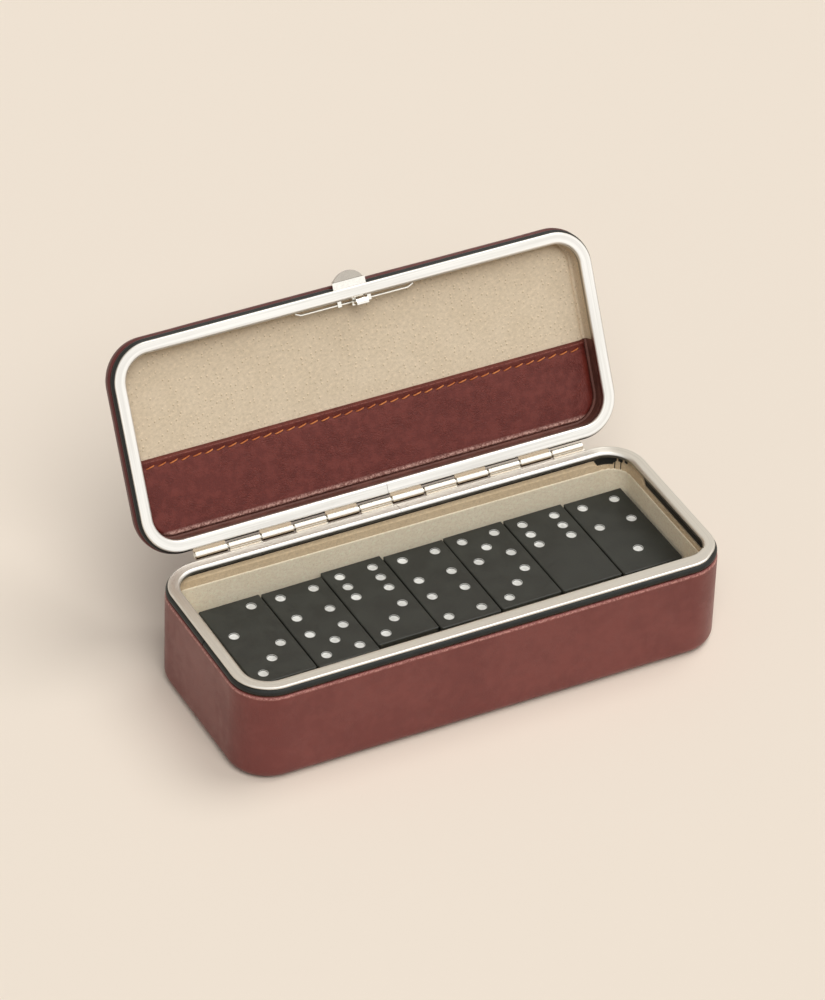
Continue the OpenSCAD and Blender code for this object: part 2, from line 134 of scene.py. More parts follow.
@dataclass(frozen=True)
class Case:
    """Sizes that the sub-assemblies share, read from the frame. Millimetres.

    Heights in the case are depths below the parting plane in the base, and heights above it in
    the shut lid.
    """

    length: float
    width: float
    parting: float
    hinge_y: float
    open_angle: float
    corner: float = 11.6
    land: float = 3.6
    sheet: float = 0.5
    half_gap: float = 0.1
    bead: float = 0.8
    flange: float = 2.5
    shell_top: float = 3.1
    lining_in: float = 2.9
    wall_in: float = 2.0
    tray_corner: float = 8.9

    @classmethod
    def from_frame(cls) -> "Case":
        """Reads the rim's outline and the hinge from the frame."""
        low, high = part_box("base_rim")
        hinge = next(j for j in frame["joints"] if j["name"] == "lid_hinge")
        place = hinge["pos_m"]
        return cls(
            length=(high.x - low.x) / MM,
            width=(high.y - low.y) / MM,
            parting=place[2] / MM,
            hinge_y=place[1] / MM,
            open_angle=math.radians(-hinge["range_deg"][0]),
        )

    def below(self, points: np.ndarray) -> np.ndarray:
        """Turns depths below the parting plane into heights in the row frame."""
        moved = points.copy()
        moved[..., 2] = self.parting - moved[..., 2]
        return moved

    def opened(self, points: np.ndarray) -> np.ndarray:
        """Turns points of the shut lid, with heights above the parting plane, to the open lid.

        Args:
            points: Array whose last axis is X, Y and the height.

        Returns:
            The points in the row frame.
        """
        cosine, sine = math.cos(self.open_angle), math.sin(self.open_angle)
        reach = points[..., 1] - self.hinge_y
        height = points[..., 2]
        moved = points.copy()
        moved[..., 1] = self.hinge_y + reach * cosine + height * sine
        moved[..., 2] = self.parting - reach * sine + height * cosine
        return moved


# ---------- mesh tools


def arc(
    centre: tuple[float, float], radii: tuple[float, float], start: float, end: float, steps: int
) -> Profile:
    """Points along part of an ellipse.

    Args:
        centre: Its centre.
        radii: Its radius along each axis.
        start, end: Angles in degrees.
        steps: Number of intervals.

    Returns:
        The points, both ends included.
    """
    angles = np.radians(np.linspace(start, end, steps + 1))
    return [
        (centre[0] + radii[0] * math.cos(a), centre[1] + radii[1] * math.sin(a)) for a in angles
    ]


def line(start: tuple[float, float], end: tuple[float, float], steps: int) -> Profile:
    """Evenly spaced points from one to another, without the last.

    Args:
        start, end: The two points.
        steps: Number of intervals.

    Returns:
        The points.
    """
    return [
        (start[0] + (end[0] - start[0]) * i / steps, start[1] + (end[1] - start[1]) * i / steps)
        for i in range(steps)
    ]


@dataclass
class Course:
    """Stations round a rounded rectangle, each with a centre and an outward normal."""

    centres: np.ndarray
    normals: np.ndarray
    radius: float
    closed: bool = True

    @classmethod
    def around(
        cls, length: float, width: float, radius: float, step: float = 2.5, corner_steps: int = 16
    ) -> "Course":
        """Walks round the outline anticlockwise, from the middle of the back.

        Args:
            length, width: Outer size of the outline.
            radius: Its corner radius.
            step: Longest distance between stations on a straight side.
            corner_steps: Intervals in each corner.

        Returns:
            The closed course.
        """
        half = np.array([length / 2 - radius, width / 2 - radius])
        corners = half * [(-1, 1), (-1, -1), (1, -1), (1, 1)]
        centres: list[np.ndarray] = []
        normals: list[np.ndarray] = []
        place = np.array([0.0, half[1]])
        for index, corner in enumerate([*corners, np.array([0.0, half[1]])]):
            turn = math.radians(90 * (index + 1))
            normal = np.array([math.cos(turn), math.sin(turn)])
            count = max(2, math.ceil(np.linalg.norm(corner - place) / step))
            for i in range(count):
                centres.append(place + (corner - place) * i / count)
                normals.append(normal)
            if index < 4:
                for i in range(corner_steps):
                    angle = turn + math.radians(90) * i / corner_steps
                    centres.append(corner)
                    normals.append(np.array([math.cos(angle), math.sin(angle)]))
            place = corner
        return cls(np.array(centres), np.array(normals), radius)

    def at(self, inset: float) -> np.ndarray:
        """Points of the course at a distance in from the outline."""
        return self.centres + self.normals * (self.radius - inset)

    def lengths(self) -> np.ndarray:
        """Distance along the outline at each station, and at the end of the course."""
        edge = self.at(0)
        ends = np.vstack([edge, edge[:1]]) if self.closed else edge
        return np.concatenate([[0], np.cumsum(np.linalg.norm(np.diff(ends, axis=0), axis=1))])

    def parted(self, x: float, gap: float) -> "Course":
        """Opens the course at a seam in the middle of the back.

        Args:
            x: Place of the seam.
            gap: Its width.

        Returns:
            An open course from one side of the seam to the other.
        """
        back = self.centres[0, 1]
        start, end = np.array([x - gap / 2, back]), np.array([x + gap / 2, back])
        up = np.array([0.0, 1.0])
        beside = np.abs(self.centres[:, 0] - x) < SEAM_REACH
        keep = ~(beside & (self.normals[:, 1] > FACING))
        order = np.nonzero(keep)[0]
        left = [i for i in order if i < len(keep) // 2 and self.centres[i, 0] < x]
        first = left[0]
        order = [i for i in np.roll(np.arange(len(keep)), -first) if keep[i]]
        centres = np.vstack([start, self.centres[order], end])
        normals = np.vstack([up, self.normals[order], up])
        return Course(centres, normals, self.radius, closed=False)

    def turned(self, station: int, gap: float) -> "Course":
        """Opens the course at a station of a straight side.

        Args:
            station: Its index.
            gap: Width of the opening.

        Returns:
            The open course.
        """
        centres = np.roll(self.centres, -station, axis=0)
        normals = np.roll(self.normals, -station, axis=0)
        ahead = centres[1] - centres[0]
        shift = ahead / np.linalg.norm(ahead) * gap / 2
        centres = np.vstack([centres[0] + shift, centres[1:], centres[0] - shift])
        return Course(centres, np.vstack([normals, normals[:1]]), self.radius, closed=False)

    def refined(self, low: float, high: float, step: float) -> "Course":
        """The same course with closer stations on part of its front side.

        Args:
            low, high: X coordinates between which the stations are closer.
            step: Distance between them.

        Returns:
            The course.
        """
        front = np.nonzero(self.normals[:, 1] < -FACING)[0]
        places = self.centres[front, 0]
        outside = places[(places < low) | (places > high)]
        added = np.arange(low, high + step / 2, step)
        line_x = np.sort(np.concatenate([outside, added]))
        row = np.column_stack([line_x, np.full(len(line_x), self.centres[front[0], 1])])
        first, last = front[0], front[-1] + 1
        centres = np.vstack([self.centres[:first], row, self.centres[last:]])
        down = np.tile([0.0, -1.0], (len(row), 1))
        normals = np.vstack([self.normals[:first], down, self.normals[last:]])
        return Course(centres, normals, self.radius, self.closed)

    def behind(self, y: float) -> "Course":
        """Keeps the part of the course behind a Y coordinate.

        Args:
            y: The coordinate.

        Returns:
            An open course from the right side to the left.
        """
        edge = self.at(0)[:, 1]
        keep = np.nonzero(edge >= y)[0]
        order = np.concatenate([keep[keep > len(edge) // 2], keep[keep <= len(edge) // 2]])
        centres, normals = self.centres[order].copy(), self.normals[order]
        centres[0, 1] = centres[-1, 1] = y
        return Course(centres, normals, self.radius, closed=False)


@dataclass
class Skin:
    """Faces over points, with a surface coordinate for each face corner. Millimetres."""

    points: np.ndarray
    faces: Faces
    uvs: list[tuple[float, float]] = field(default_factory=list)

    def moved(self, place: Warp) -> "Skin":
        """The same faces over moved points."""
        return Skin(place(self.points), self.faces, self.uvs)


def joined(skins: Iterable[Skin]) -> Skin:
    """Puts several skins into one.

    Args:
        skins: The skins.

    Returns:
        One skin with all their points and faces.
    """
    points: list[np.ndarray] = []
    faces: Faces = []
    uvs: list[tuple[float, float]] = []
    offset = 0
    for skin in skins:
        points.append(skin.points)
        faces += [tuple(i + offset for i in face) for face in skin.faces]
        uvs += skin.uvs
        offset += len(skin.points)
    return Skin(np.vstack(points), faces, uvs)


def sweep(course: Course, profile: Profile, loop: bool = True, crown: float = 0.0) -> Skin:
    """Sweeps a section round a course.

    Args:
        course: Where it goes.
        profile: Distance in from the outline, and height, of each point of the section.
        loop: Whether the section closes on itself. If not, its two ends are closed to the middle.
        crown: How much higher the middle is than the section's last point, for an open section.

    Returns:
        A closed skin.
    """
    section = np.array(profile)
    stations, size = len(course.centres), len(section)
    flat = course.centres[:, None] + course.normals[:, None] * (
        course.radius - section[:, 0]
    )[None, :, None]
    heights = np.broadcast_to(section[None, :, 1:], (stations, size, 1))
    points = np.concatenate([flat, heights], axis=2).reshape(-1, 3)
    along = course.lengths()
    ring = np.vstack([section, section[:1]]) if loop else section
    across = np.concatenate([[0], np.cumsum(np.linalg.norm(np.diff(ring, axis=0), axis=1))])
    faces: Faces = []
    uvs: list[tuple[float, float]] = []
    for s in range(stations if course.closed else stations - 1):
        t = (s + 1) % stations
        for p in range(size if loop else size - 1):
            q = (p + 1) % size
            faces.append((s * size + p, s * size + q, t * size + q, t * size + p))
            uvs += [(along[s], across[p]), (along[s], across[p + 1]),
                    (along[s + 1], across[p + 1]), (along[s + 1], across[p])]
    skin = Skin(points, faces, uvs)
    if not course.closed:
        for s in (0, stations - 1):
            skin.faces.append(tuple(s * size + p for p in range(size)))
            skin.uvs += [tuple(point) for point in section]
    if not loop:
        skin = close_middle(skin, stations, size, 0, 0.0)
        skin = close_middle(skin, stations, size, size - 1, crown)
    return skin


def close_middle(skin: Skin, stations: int, size: int, column: int, crown: float) -> Skin:
    """Fills one end of an open section with rings that shrink to the middle.

    Args:
        skin: The swept skin.
        stations, size: Its numbers of stations and of section points.
        column: Which section point the fill starts from.
        crown: How much higher the middle is.

    Returns:
        The skin with the fill added.
    """
    edge = [s * size + column for s in range(stations)]
    rim = skin.points[edge]
    points, faces, uvs = [skin.points], list(skin.faces), list(skin.uvs)
    previous, base = edge, len(skin.points)
    for share in MIDDLE_RINGS:
        ring = rim * [share, share, 1] + [0, 0, crown * (1 - share**2)]
        current = list(range(base, base + stations))
        points.append(ring)
        base += stations
        for s in range(stations):
            t = (s + 1) % stations
            faces.append((previous[s], current[s], current[t], previous[t]))
            uvs += [(0.0, 0.0)] * 4
        previous = current
    faces.append(tuple(previous))
    uvs += [(0.0, 0.0)] * stations
    return Skin(np.vstack(points), faces, uvs)


def ring_faces(rings: int, sides: int, first: int = 0, loop: bool = False) -> Faces:
    """Faces between rings of points that follow each other.

    Args:
        rings: Number of rings.
        sides: Number of points in each.
        first: Index of the first point.
        loop: Whether the last ring joins the first.

    Returns:
        The faces, ring by ring.
    """
    faces: Faces = []
    for r in range(rings if loop else rings - 1):
        here, there = first + r * sides, first + (r + 1) % rings * sides
        for k in range(sides):
            m = (k + 1) % sides
            faces.append((here + k, here + m, there + m, there + k))
    return faces


def end_faces(rings: int, sides: int) -> Faces:
    """The faces that close the first and the last ring."""
    return [tuple(range(sides)), tuple((rings - 1) * sides + k for k in range(sides))]


def sheet_between(top: np.ndarray, bottom: np.ndarray) -> Skin:
    """Closes two grids of the same size into one thin solid.

    Args:
        top, bottom: Grids of points, rows by columns by 3.

    Returns:
        The closed skin, with X and Y as its surface coordinate.
    """
    rows, columns = top.shape[:2]
    count = rows * columns
    points = np.vstack([top.reshape(-1, 3), bottom.reshape(-1, 3)])
    faces: Faces = []
    for r in range(rows - 1):
        for c in range(columns - 1):
            a = r * columns + c
            faces.append((a, a + 1, a + columns + 1, a + columns))
            faces.append((a + count, a + columns + count, a + columns + 1 + count, a + 1 + count))
    border = (
        list(range(columns))
        + [r * columns + columns - 1 for r in range(1, rows)]
        + [(rows - 1) * columns + c for c in range(columns - 2, -1, -1)]
        + [r * columns for r in range(rows - 2, 0, -1)]
    )
    for a, b in zip(border, border[1:] + border[:1]):
        faces.append((a, a + count, b + count, b))
    uvs = [(points[i][0], points[i][1]) for face in faces for i in face]
    return Skin(points, faces, uvs)


def piece_from(name: str, skin: Skin, material: bpy.types.Material) -> bpy.types.Object:
    """Makes a Blender object of a skin, in metres, with outward faces.

    Args:
        name: The piece's name.
        skin: Points in the row frame, in millimetres.
        material: Its finish.

    Returns:
        The object, at the origin, with its place in its mesh.
    """
    mesh = bpy.data.meshes.new(name)
    mesh.from_pydata((skin.points * MM).tolist(), [], skin.faces)
    if skin.uvs:
        layer = mesh.uv_layers.new(name="surface")
        layer.data.foreach_set("uv", np.array(skin.uvs, np.float32).ravel())
    mesh.materials.append(material)
    orient(mesh)
    obj = bpy.data.objects.new(name, mesh)
    bpy.context.scene.collection.objects.link(obj)
    return obj


def orient(mesh: bpy.types.Mesh) -> None:
    """Points a mesh's faces outwards, smooths it and marks its sharp edges.

    Args:
        mesh: The mesh, which is changed.
    """
    work = bmesh.new()
    work.from_mesh(mesh)
    bmesh.ops.remove_doubles(work, verts=work.verts, dist=0.5e-6)
    bmesh.ops.recalc_face_normals(work, faces=work.faces)
    work.to_mesh(mesh)
    work.free()
    mesh.polygons.foreach_set("use_smooth", [True] * len(mesh.polygons))
    mesh.set_sharp_from_angle(angle=SHARP_ANGLE)


def settle(
    obj: bpy.types.Object, body: str, slot: Slot, replaces: Sequence[str] = ()
) -> bpy.types.Object:
    """Puts a finished piece on its body and hides the nodes it stands for.

    Args:
        obj: The piece.
        body: Name of the body it rides on.
        slot: Its material slot; not used.
        replaces: Nodes of the frame that it replaces.

    Returns:
        The piece.
    """
    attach(obj, body)
    if replaces:
        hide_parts(*replaces)
    LOG.info("%s rides on %s", obj.name, body)
    return obj


def ripple(points: np.ndarray, size: float, seed: float) -> np.ndarray:
    """Smooth noise at points, one value each, between about -1 and 1.

    Args:
        points: Points in millimetres.
        size: Size of the waves in millimetres.
        seed: Shift that makes one piece differ from another.

    Returns:
        An array of values.
    """
    shift = Vector((seed, seed * 0.37, -seed * 0.71))
    return np.array([noise.noise(Vector(p) / size + shift) for p in points.reshape(-1, 3)])


# ---------- node tools


class Graph:
    """Adds and links nodes in one tree."""

    def __init__(self, tree: bpy.types.NodeTree) -> None:
        """Keeps the tree."""
        self.tree = tree

    def add(self, kind: str, feeds: dict | None = None, **settings: object) -> bpy.types.Node:
        """Adds a node.

        Args:
            kind: Its type.
            feeds: Value or output socket for each input, by name or index.
            settings: Properties of the node.

        Returns:
            The node.
        """
        node = self.tree.nodes.new(kind)
        for key, value in settings.items():
            setattr(node, key, value)
        for key, value in (feeds or {}).items():
            if isinstance(value, bpy.types.NodeSocket):
                self.tree.links.new(value, node.inputs[key])
            else:
                node.inputs[key].default_value = value
        return node

    def math(self, operation: str, a: object, b: object = 0.0, clamp: bool = False) -> Socket:
        """Output of a Math node."""
        return self.add(
            "ShaderNodeMath", {0: a, 1: b}, operation=operation, use_clamp=clamp
        ).outputs[0]

    def axis(self, vector: Socket, index: int) -> Socket:
        """One coordinate of a vector."""
        return self.add("ShaderNodeSeparateXYZ", {0: vector}).outputs[index]

    def away(self, value: Socket, centre: float) -> Socket:
        """How far a value is from a centre, on either side."""
        return self.math("ABSOLUTE", self.math("SUBTRACT", value, centre))

    def scaled(self, vector: Socket, scale: float) -> Socket:
        """A vector times a number."""
        return self.add("ShaderNodeVectorMath", {0: vector, "Scale": scale},
                        operation="SCALE").outputs[0]

    def shifted(self, vector: Socket, shift: object) -> Socket:
        """A vector plus another."""
        return self.add("ShaderNodeVectorMath", {0: vector, 1: shift},
                        operation="ADD").outputs[0]

    def mix(self, share: object, a: object, b: object) -> Socket:
        """Colour between two others.

        Args:
            share: Share of the second colour.
            a, b: The colours, each a socket or three values.

        Returns:
            The mix node's output.
        """
        colors = {
            key: (*value, 1.0) if isinstance(value, tuple) and len(value) == 3 else value
            for key, value in ((6, a), (7, b))
        }
        return self.add("ShaderNodeMix", {0: share, **colors}, data_type="RGBA").outputs[2]

    def remap(self, value: Socket, source: Ends, target: Ends = (0.0, 1.0)) -> Socket:
        """Carries a value smoothly from one range to another, and clamps it there.

        Args:
            value: The value.
            source: Ends of its range.
            target: What they become.

        Returns:
            The map range node's output.
        """
        return self.add(
            "ShaderNodeMapRange",
            {"Value": value, "From Min": source[0], "From Max": source[1],
             "To Min": target[0], "To Max": target[1]},
            interpolation_type="SMOOTHSTEP",
        ).outputs[0]

    def noise(
        self, vector: Socket, scale: float, detail: float = 3.0, rough: float = 0.55
    ) -> Socket:
        """Factor of a noise texture."""
        return self.add(
            "ShaderNodeTexNoise",
            {"Vector": vector, "Scale": scale, "Detail": detail, "Roughness": rough},
        ).outputs["Fac"]

    def stretched(self, vector: Socket, scale: Sequence[float], turn: float = 0.0) -> Socket:
        """A vector scaled by a different amount along each axis, and turned about Z."""
        return self.add(
            "ShaderNodeMapping", {"Vector": vector, "Scale": tuple(scale), "Rotation": (0, 0, turn)}
        ).outputs[0]


def shader_group(name: str, inputs: dict[str, tuple[str, object]], outputs: dict[str, str],
                 body: Callable[[Graph, bpy.types.Node], dict]) -> bpy.types.NodeTree:
    """Builds a shader node group once.

    Args:
        name: Its name.
        inputs: Socket type and default of each input.
        outputs: Socket type of each output.
        body: Adds the nodes and returns the socket for each output.

    Returns:
        The group's tree.
    """
    if name in bpy.data.node_groups:
        return bpy.data.node_groups[name]
    tree = bpy.data.node_groups.new(name, "ShaderNodeTree")
    for label, (kind, default) in inputs.items():
        socket = tree.interface.new_socket(label, in_out="INPUT", socket_type=kind)
        if default is not None:
            socket.default_value = default
    for label, kind in outputs.items():
        tree.interface.new_socket(label, in_out="OUTPUT", socket_type=kind)
    graph = Graph(tree)
    entry = graph.add("NodeGroupInput")
    graph.add("NodeGroupOutput", body(graph, entry))
    return tree


FLOAT, VECTOR, COLOR = "NodeSocketFloat", "NodeSocketVector", "NodeSocketColor"


def mottle_group() -> bpy.types.NodeTree:
    """Soft drift between two colours, as in dyed hide."""

    def body(graph: Graph, entry: bpy.types.Node) -> dict:
        """Adds large clouds and finer flecks.

        Args:
            graph: The group's graph.
            entry: Its input node.

        Returns:
            The socket of each output.
        """
        place, finer = entry.outputs["Vector"], 7.0
        clouds = graph.noise(place, scale=1.0, detail=4.0, rough=0.6)
        flecks = graph.noise(graph.scaled(place, finer), scale=1.0, detail=3.0, rough=0.6)
        drift = graph.remap(clouds, (0.36, 0.66))
        speck = graph.remap(flecks, (0.35, 0.7), (-0.5, 0.5))
        share = graph.math("MULTIPLY_ADD", speck, entry.outputs["Flecks"])
        graph.tree.links.new(drift, share.node.inputs[2])
        share.node.use_clamp = True
        return {"Color": graph.mix(share, entry.outputs["Dark"], entry.outputs["Light"]),
                "Share": share}

    return shader_group(
        "Mottle",
        {"Vector": (VECTOR, None), "Dark": (COLOR, None), "Light": (COLOR, None),
         "Flecks": (FLOAT, 0.5)},
        {"Color": COLOR, "Share": FLOAT},
        body,
    )


def hide_group() -> bpy.types.NodeTree:
    """Grain of smooth calf: small cells with soft creases, and fine pores."""

    def body(graph: Graph, entry: bpy.types.Node) -> dict:
        """Adds the cells, the creases and the fine surface.

        Args:
            graph: The group's graph.
            entry: Its input node.

        Returns:
            The socket of each output.
        """
        place = entry.outputs["Vector"]
        wobble = graph.add("ShaderNodeTexNoise", {"Vector": place, "Scale": 0.9, "Detail": 2.0})
        bent = graph.shifted(place, wobble.outputs["Color"])
        cells = graph.add("ShaderNodeTexVoronoi", {"Vector": bent, "Scale": 1.0},
                          feature="DISTANCE_TO_EDGE").outputs[0]
        creases = graph.remap(cells, (0.0, 0.16), (1.0, 0.0))
        fine = graph.noise(place, scale=3.2, detail=3.0, rough=0.6)
        patches = graph.remap(graph.noise(place, scale=0.12, detail=2.0), (0.4, 0.62),
                              (0.35, 1.0))
        crease = graph.math("MULTIPLY", creases, patches)
        depth = graph.math("MULTIPLY", crease, -0.7)
        height = graph.math("MULTIPLY_ADD", fine, 0.5)
        graph.tree.links.new(depth, height.node.inputs[2])
        return {"Height": height, "Crease": crease}

    return shader_group("Hide grain", {"Vector": (VECTOR, None)},
                        {"Height": FLOAT, "Crease": FLOAT}, body)


def brushing_group() -> bpy.types.NodeTree:
    """Fine lines along a polished strip, from its surface coordinate."""

    def body(graph: Graph, entry: bpy.types.Node) -> dict:
        """Adds long soft streaks, hair lines and a few specks.

        Args:
            graph: The group's graph.
            entry: Its input node.

        Returns:
            The socket of each output.
        """
        place = entry.outputs["Surface"]
        long_soft, hair_fine, streak_share = (0.02, 1.6, 1.0), (0.25, 14.0, 1.0), 0.6
        streaks = graph.noise(graph.stretched(place, long_soft), scale=1.0, detail=3.0, rough=0.6)
        hairs = graph.noise(graph.stretched(place, hair_fine), scale=1.0, detail=2.0, rough=0.6)
        both = graph.math("ADD", graph.math("MULTIPLY", streaks, streak_share),
                          graph.math("MULTIPLY", hairs, 1 - streak_share))
        specks = graph.remap(graph.noise(place, scale=1.7, detail=2.0, rough=0.5), (0.74, 0.8))
        return {"Height": both, "Streaks": graph.remap(streaks, (0.35, 0.65)), "Specks": specks}

    return shader_group("Brushing", {"Surface": (VECTOR, None)},
                        {"Height": FLOAT, "Streaks": FLOAT, "Specks": FLOAT}, body)


def pore_dots(graph: Graph, place: Socket, scale: Socket, shift: float) -> Socket:
    """Pores of uneven strength on a loose grid, seen from a point beside them.

    Args:
        graph: The group's graph.
        place: Vector in millimetres.
        scale: Pores to the millimetre.
        shift: How far beside, in millimetres.

    Returns:
        A socket that is 1 inside a pore.
    """
    steepness = 1.4
    moved = graph.shifted(place, (shift, -shift * steepness, 0))
    pits = graph.add("ShaderNodeTexVoronoi", {"Vector": moved, "Scale": scale,
                                             "Randomness": 1.0}, feature="F1",
                     voronoi_dimensions="2D")
    dots = graph.remap(pits.outputs["Distance"], (0.06, 0.2), (1.0, 0.0))
    lone = graph.add("ShaderNodeSeparateColor", {0: pits.outputs["Color"]}).outputs[0]
    return graph.math("MULTIPLY", dots, graph.remap(lone, (0.3, 0.95)))


def nap_group() -> bpy.types.NodeTree:
    """Short nap of suede, with pores where the skin had bristles."""

    def body(graph: Graph, entry: bpy.types.Node) -> dict:
        """Adds brushed nap, soft blotches and pores, each with painted shade on one side and a
        painted highlight on the other.

        Args:
            graph: The group's graph.
            entry: Its input node.

        Returns:
            The socket of each output.
        """
        place, beside, pore_depth = entry.outputs["Vector"], 0.13, 0.3
        brushed = graph.stretched(place, (1.0, 1.3, 1.0), turn=0.5)
        nap = graph.noise(brushed, scale=0.8, detail=5.0, rough=0.75)
        blotch = graph.noise(place, scale=0.09, detail=3.0, rough=0.6)
        near, far = (pore_dots(graph, place, entry.outputs["Pores"], shift)
                     for shift in (beside, -beside))
        # painted shade and painted highlight: the pore drawn twice, shifted to either side, darkens
        # one side and lightens the other
        lit = graph.math("SUBTRACT", far, near, clamp=True)
        shade = graph.math("SUBTRACT", near, far, clamp=True)
        height = graph.math("SUBTRACT", nap, graph.math("MULTIPLY", near, pore_depth))
        return {"Height": height, "Pores": shade, "Flecks": lit, "Nap": nap, "Blotch": blotch}

    return shader_group(
        "Nap",
        {"Vector": (VECTOR, None), "Pores": (FLOAT, 0.5)},
        {"Height": FLOAT, "Pores": FLOAT, "Flecks": FLOAT, "Nap": FLOAT, "Blotch": FLOAT},
        body,
    )


class Surface:
    """A new material with its Principled shader, and the coordinates that it reads."""

    def __init__(self, name: str, roughness: float = 0.5, metallic: float = 0.0,
                 specular: float = 0.5) -> None:
        """Makes the material.

        Args:
            name: Its name.
            roughness, metallic, specular: Values of its shader that don't vary.
        """
        self.material = bpy.data.materials.new(name)
        self.material.use_nodes = True
        self.graph = Graph(self.material.node_tree)
        self.shader = self.material.node_tree.nodes["Principled BSDF"]
        self.set("Roughness", roughness)
        self.set("Metallic", metallic)
        self.set("Specular IOR Level", specular)

    def set(self, socket: str, value: object) -> None:
        """Sets or links one input of the shader.

        Args:
            socket: Name of the input.
            value: A socket, a number or a colour.
        """
        if isinstance(value, bpy.types.NodeSocket):
            self.material.node_tree.links.new(value, self.shader.inputs[socket])
        elif isinstance(value, tuple) and len(value) == 3:
            self.shader.inputs[socket].default_value = (*value, 1.0)
        else:
            self.shader.inputs[socket].default_value = value

    def millimetres(self, scale: float = 1.0) -> Socket:
        """Object coordinates in millimetres, times a scale."""
        source = self.graph.add("ShaderNodeTexCoord").outputs["Object"]
        return self.graph.scaled(source, scale / MM)

    def along(self) -> Socket:
        """The piece's own surface coordinate, in millimetres."""
        return self.graph.add("ShaderNodeUVMap", uv_map="surface").outputs[0]

    def group(self, tree: bpy.types.NodeTree, feeds: dict) -> bpy.types.Node:
        """Places a shared node group.

        Args:
            tree: The group.
            feeds: Value or socket for each of its inputs.

        Returns:
            The group's node.
        """
        node = self.graph.add("ShaderNodeGroup", node_tree=tree)
        for key, value in feeds.items():
            if isinstance(value, bpy.types.NodeSocket):
                self.graph.tree.links.new(value, node.inputs[key])
            elif isinstance(value, tuple) and node.inputs[key].type == "RGBA":
                node.inputs[key].default_value = (*value, 1.0)
            else:
                node.inputs[key].default_value = value
        return node

    def bump(self, height: object, depth_mm: float, strength: float = 1.0) -> None:
        """Feeds the shader's normal from a height."""
        node = self.graph.add("ShaderNodeBump", {"Height": height, "Strength": strength,
                                                 "Distance": depth_mm * MM})
        self.set("Normal", node.outputs[0])


# ---------- finishes


@dataclass(frozen=True)
class PaintedBand:
    """A band of painted light on leather: a painted highlight where its colour is pale, painted
    shade where it is dark.

    It lies round a height, or round a place across the piece if it is on the surface.
    """

    centre: float
    reach: float
    color: Color
    share: float
    on_surface: bool = False

    def paint_band(self, surface: Surface, color: Socket) -> Socket:
        """Mixes the band over a colour.

        Args:
            surface: The material.
            color: Colour without the band.

        Returns:
            The socket of the mixed colour.
        """
        graph = surface.graph
        place = surface.along() if self.on_surface else surface.millimetres()
        away = graph.away(graph.axis(place, 1 if self.on_surface else 2), self.centre)
        band = graph.remap(away, (0.0, self.reach), (self.share, 0.0))
        spots = graph.noise(surface.millimetres(), scale=1.7, detail=3.0, rough=0.7)
        grains = graph.remap(spots, (0.4, 0.6), (0.2, 1.0))
        return graph.mix(graph.math("MULTIPLY", band, grains), color, self.color)


@dataclass(frozen=True)
class CalfFinish:
    """Smooth dyed calf."""

    name: str
    dark: Color
    light: Color
    roughness: float = 0.38
    grain: float = 0.6
    depth: float = 0.04
    cloud: float = 0.035
    specular: float = 0.45
    flecks: float = 0.6
    crease_share: float = 0.25
    crease_dark: float = 0.6
    rougher: float = 0.05
    smoother: float = 0.04
    painted_bands: tuple[PaintedBand, ...] = ()

    def build(self) -> bpy.types.Material:
        """Makes the material."""
        surface = Surface(self.name, self.roughness, specular=self.specular)
        hide = surface.group(hide_group(), {"Vector": surface.millimetres(1 / self.grain)})
        colour = surface.group(mottle_group(), {
            "Vector": surface.millimetres(self.cloud), "Dark": self.dark, "Light": self.light,
            "Flecks": self.flecks})
        creased = surface.graph.mix(
            surface.graph.math("MULTIPLY", hide.outputs["Crease"], self.crease_share),
            colour.outputs["Color"], shade(self.dark, self.crease_dark))
        # bands of painted highlight and painted shade over the leather's colour
        for band in self.painted_bands:
            creased = band.paint_band(surface, creased)
        surface.set("Base Color", creased)
        surface.set("Roughness", surface.graph.remap(
            colour.outputs["Share"], (0.0, 1.0),
            (self.roughness + self.rougher, self.roughness - self.smoother)))
        surface.bump(hide.outputs["Height"], self.depth)
        return surface.material


@dataclass(frozen=True)
class NickelFinish:
    """Nickel-plated sheet, polished along its length."""

    name: str
    color: Color
    inside: Color
    roughness: float = 0.36
    depth: float = 0.006
    flange_at: float = 5.6
    flange_reach: float = 0.9
    flange_core: float = 0.75
    flange_share: float = 0.7
    streak_dark: float = 0.88
    speck_dark: float = 0.45
    speck_share: float = 0.5
    rougher: float = 0.06
    smoother: float = 0.04

    def build(self) -> bpy.types.Material:
        """Makes the material, with a painted reflection of the tan lining on the flange's inner
        face.
        """
        surface = Surface(self.name, self.roughness, metallic=1.0)
        brushing = surface.group(brushing_group(), {"Surface": surface.along()})
        graph = surface.graph
        tint = graph.mix(brushing.outputs["Streaks"], shade(self.color, self.streak_dark),
                         self.color)
        tint = graph.mix(graph.math("MULTIPLY", brushing.outputs["Specks"], self.speck_share),
                         tint, shade(self.color, self.speck_dark))
        # painted reflection: a tan band across the flange's inner face, for the suede lining that
        # it faces
        away = graph.away(graph.axis(surface.along(), 1), self.flange_at)
        flange_reflected = graph.remap(away, (self.flange_reach * self.flange_core, self.flange_reach),
                             (self.flange_share, 0.0))
        surface.set("Base Color", graph.mix(flange_reflected, tint, self.inside))
        surface.set("Roughness", graph.remap(
            brushing.outputs["Streaks"], (0.0, 1.0),
            (self.roughness + self.rougher, self.roughness - self.smoother)))
        surface.bump(brushing.outputs["Height"], self.depth)
        return surface.material


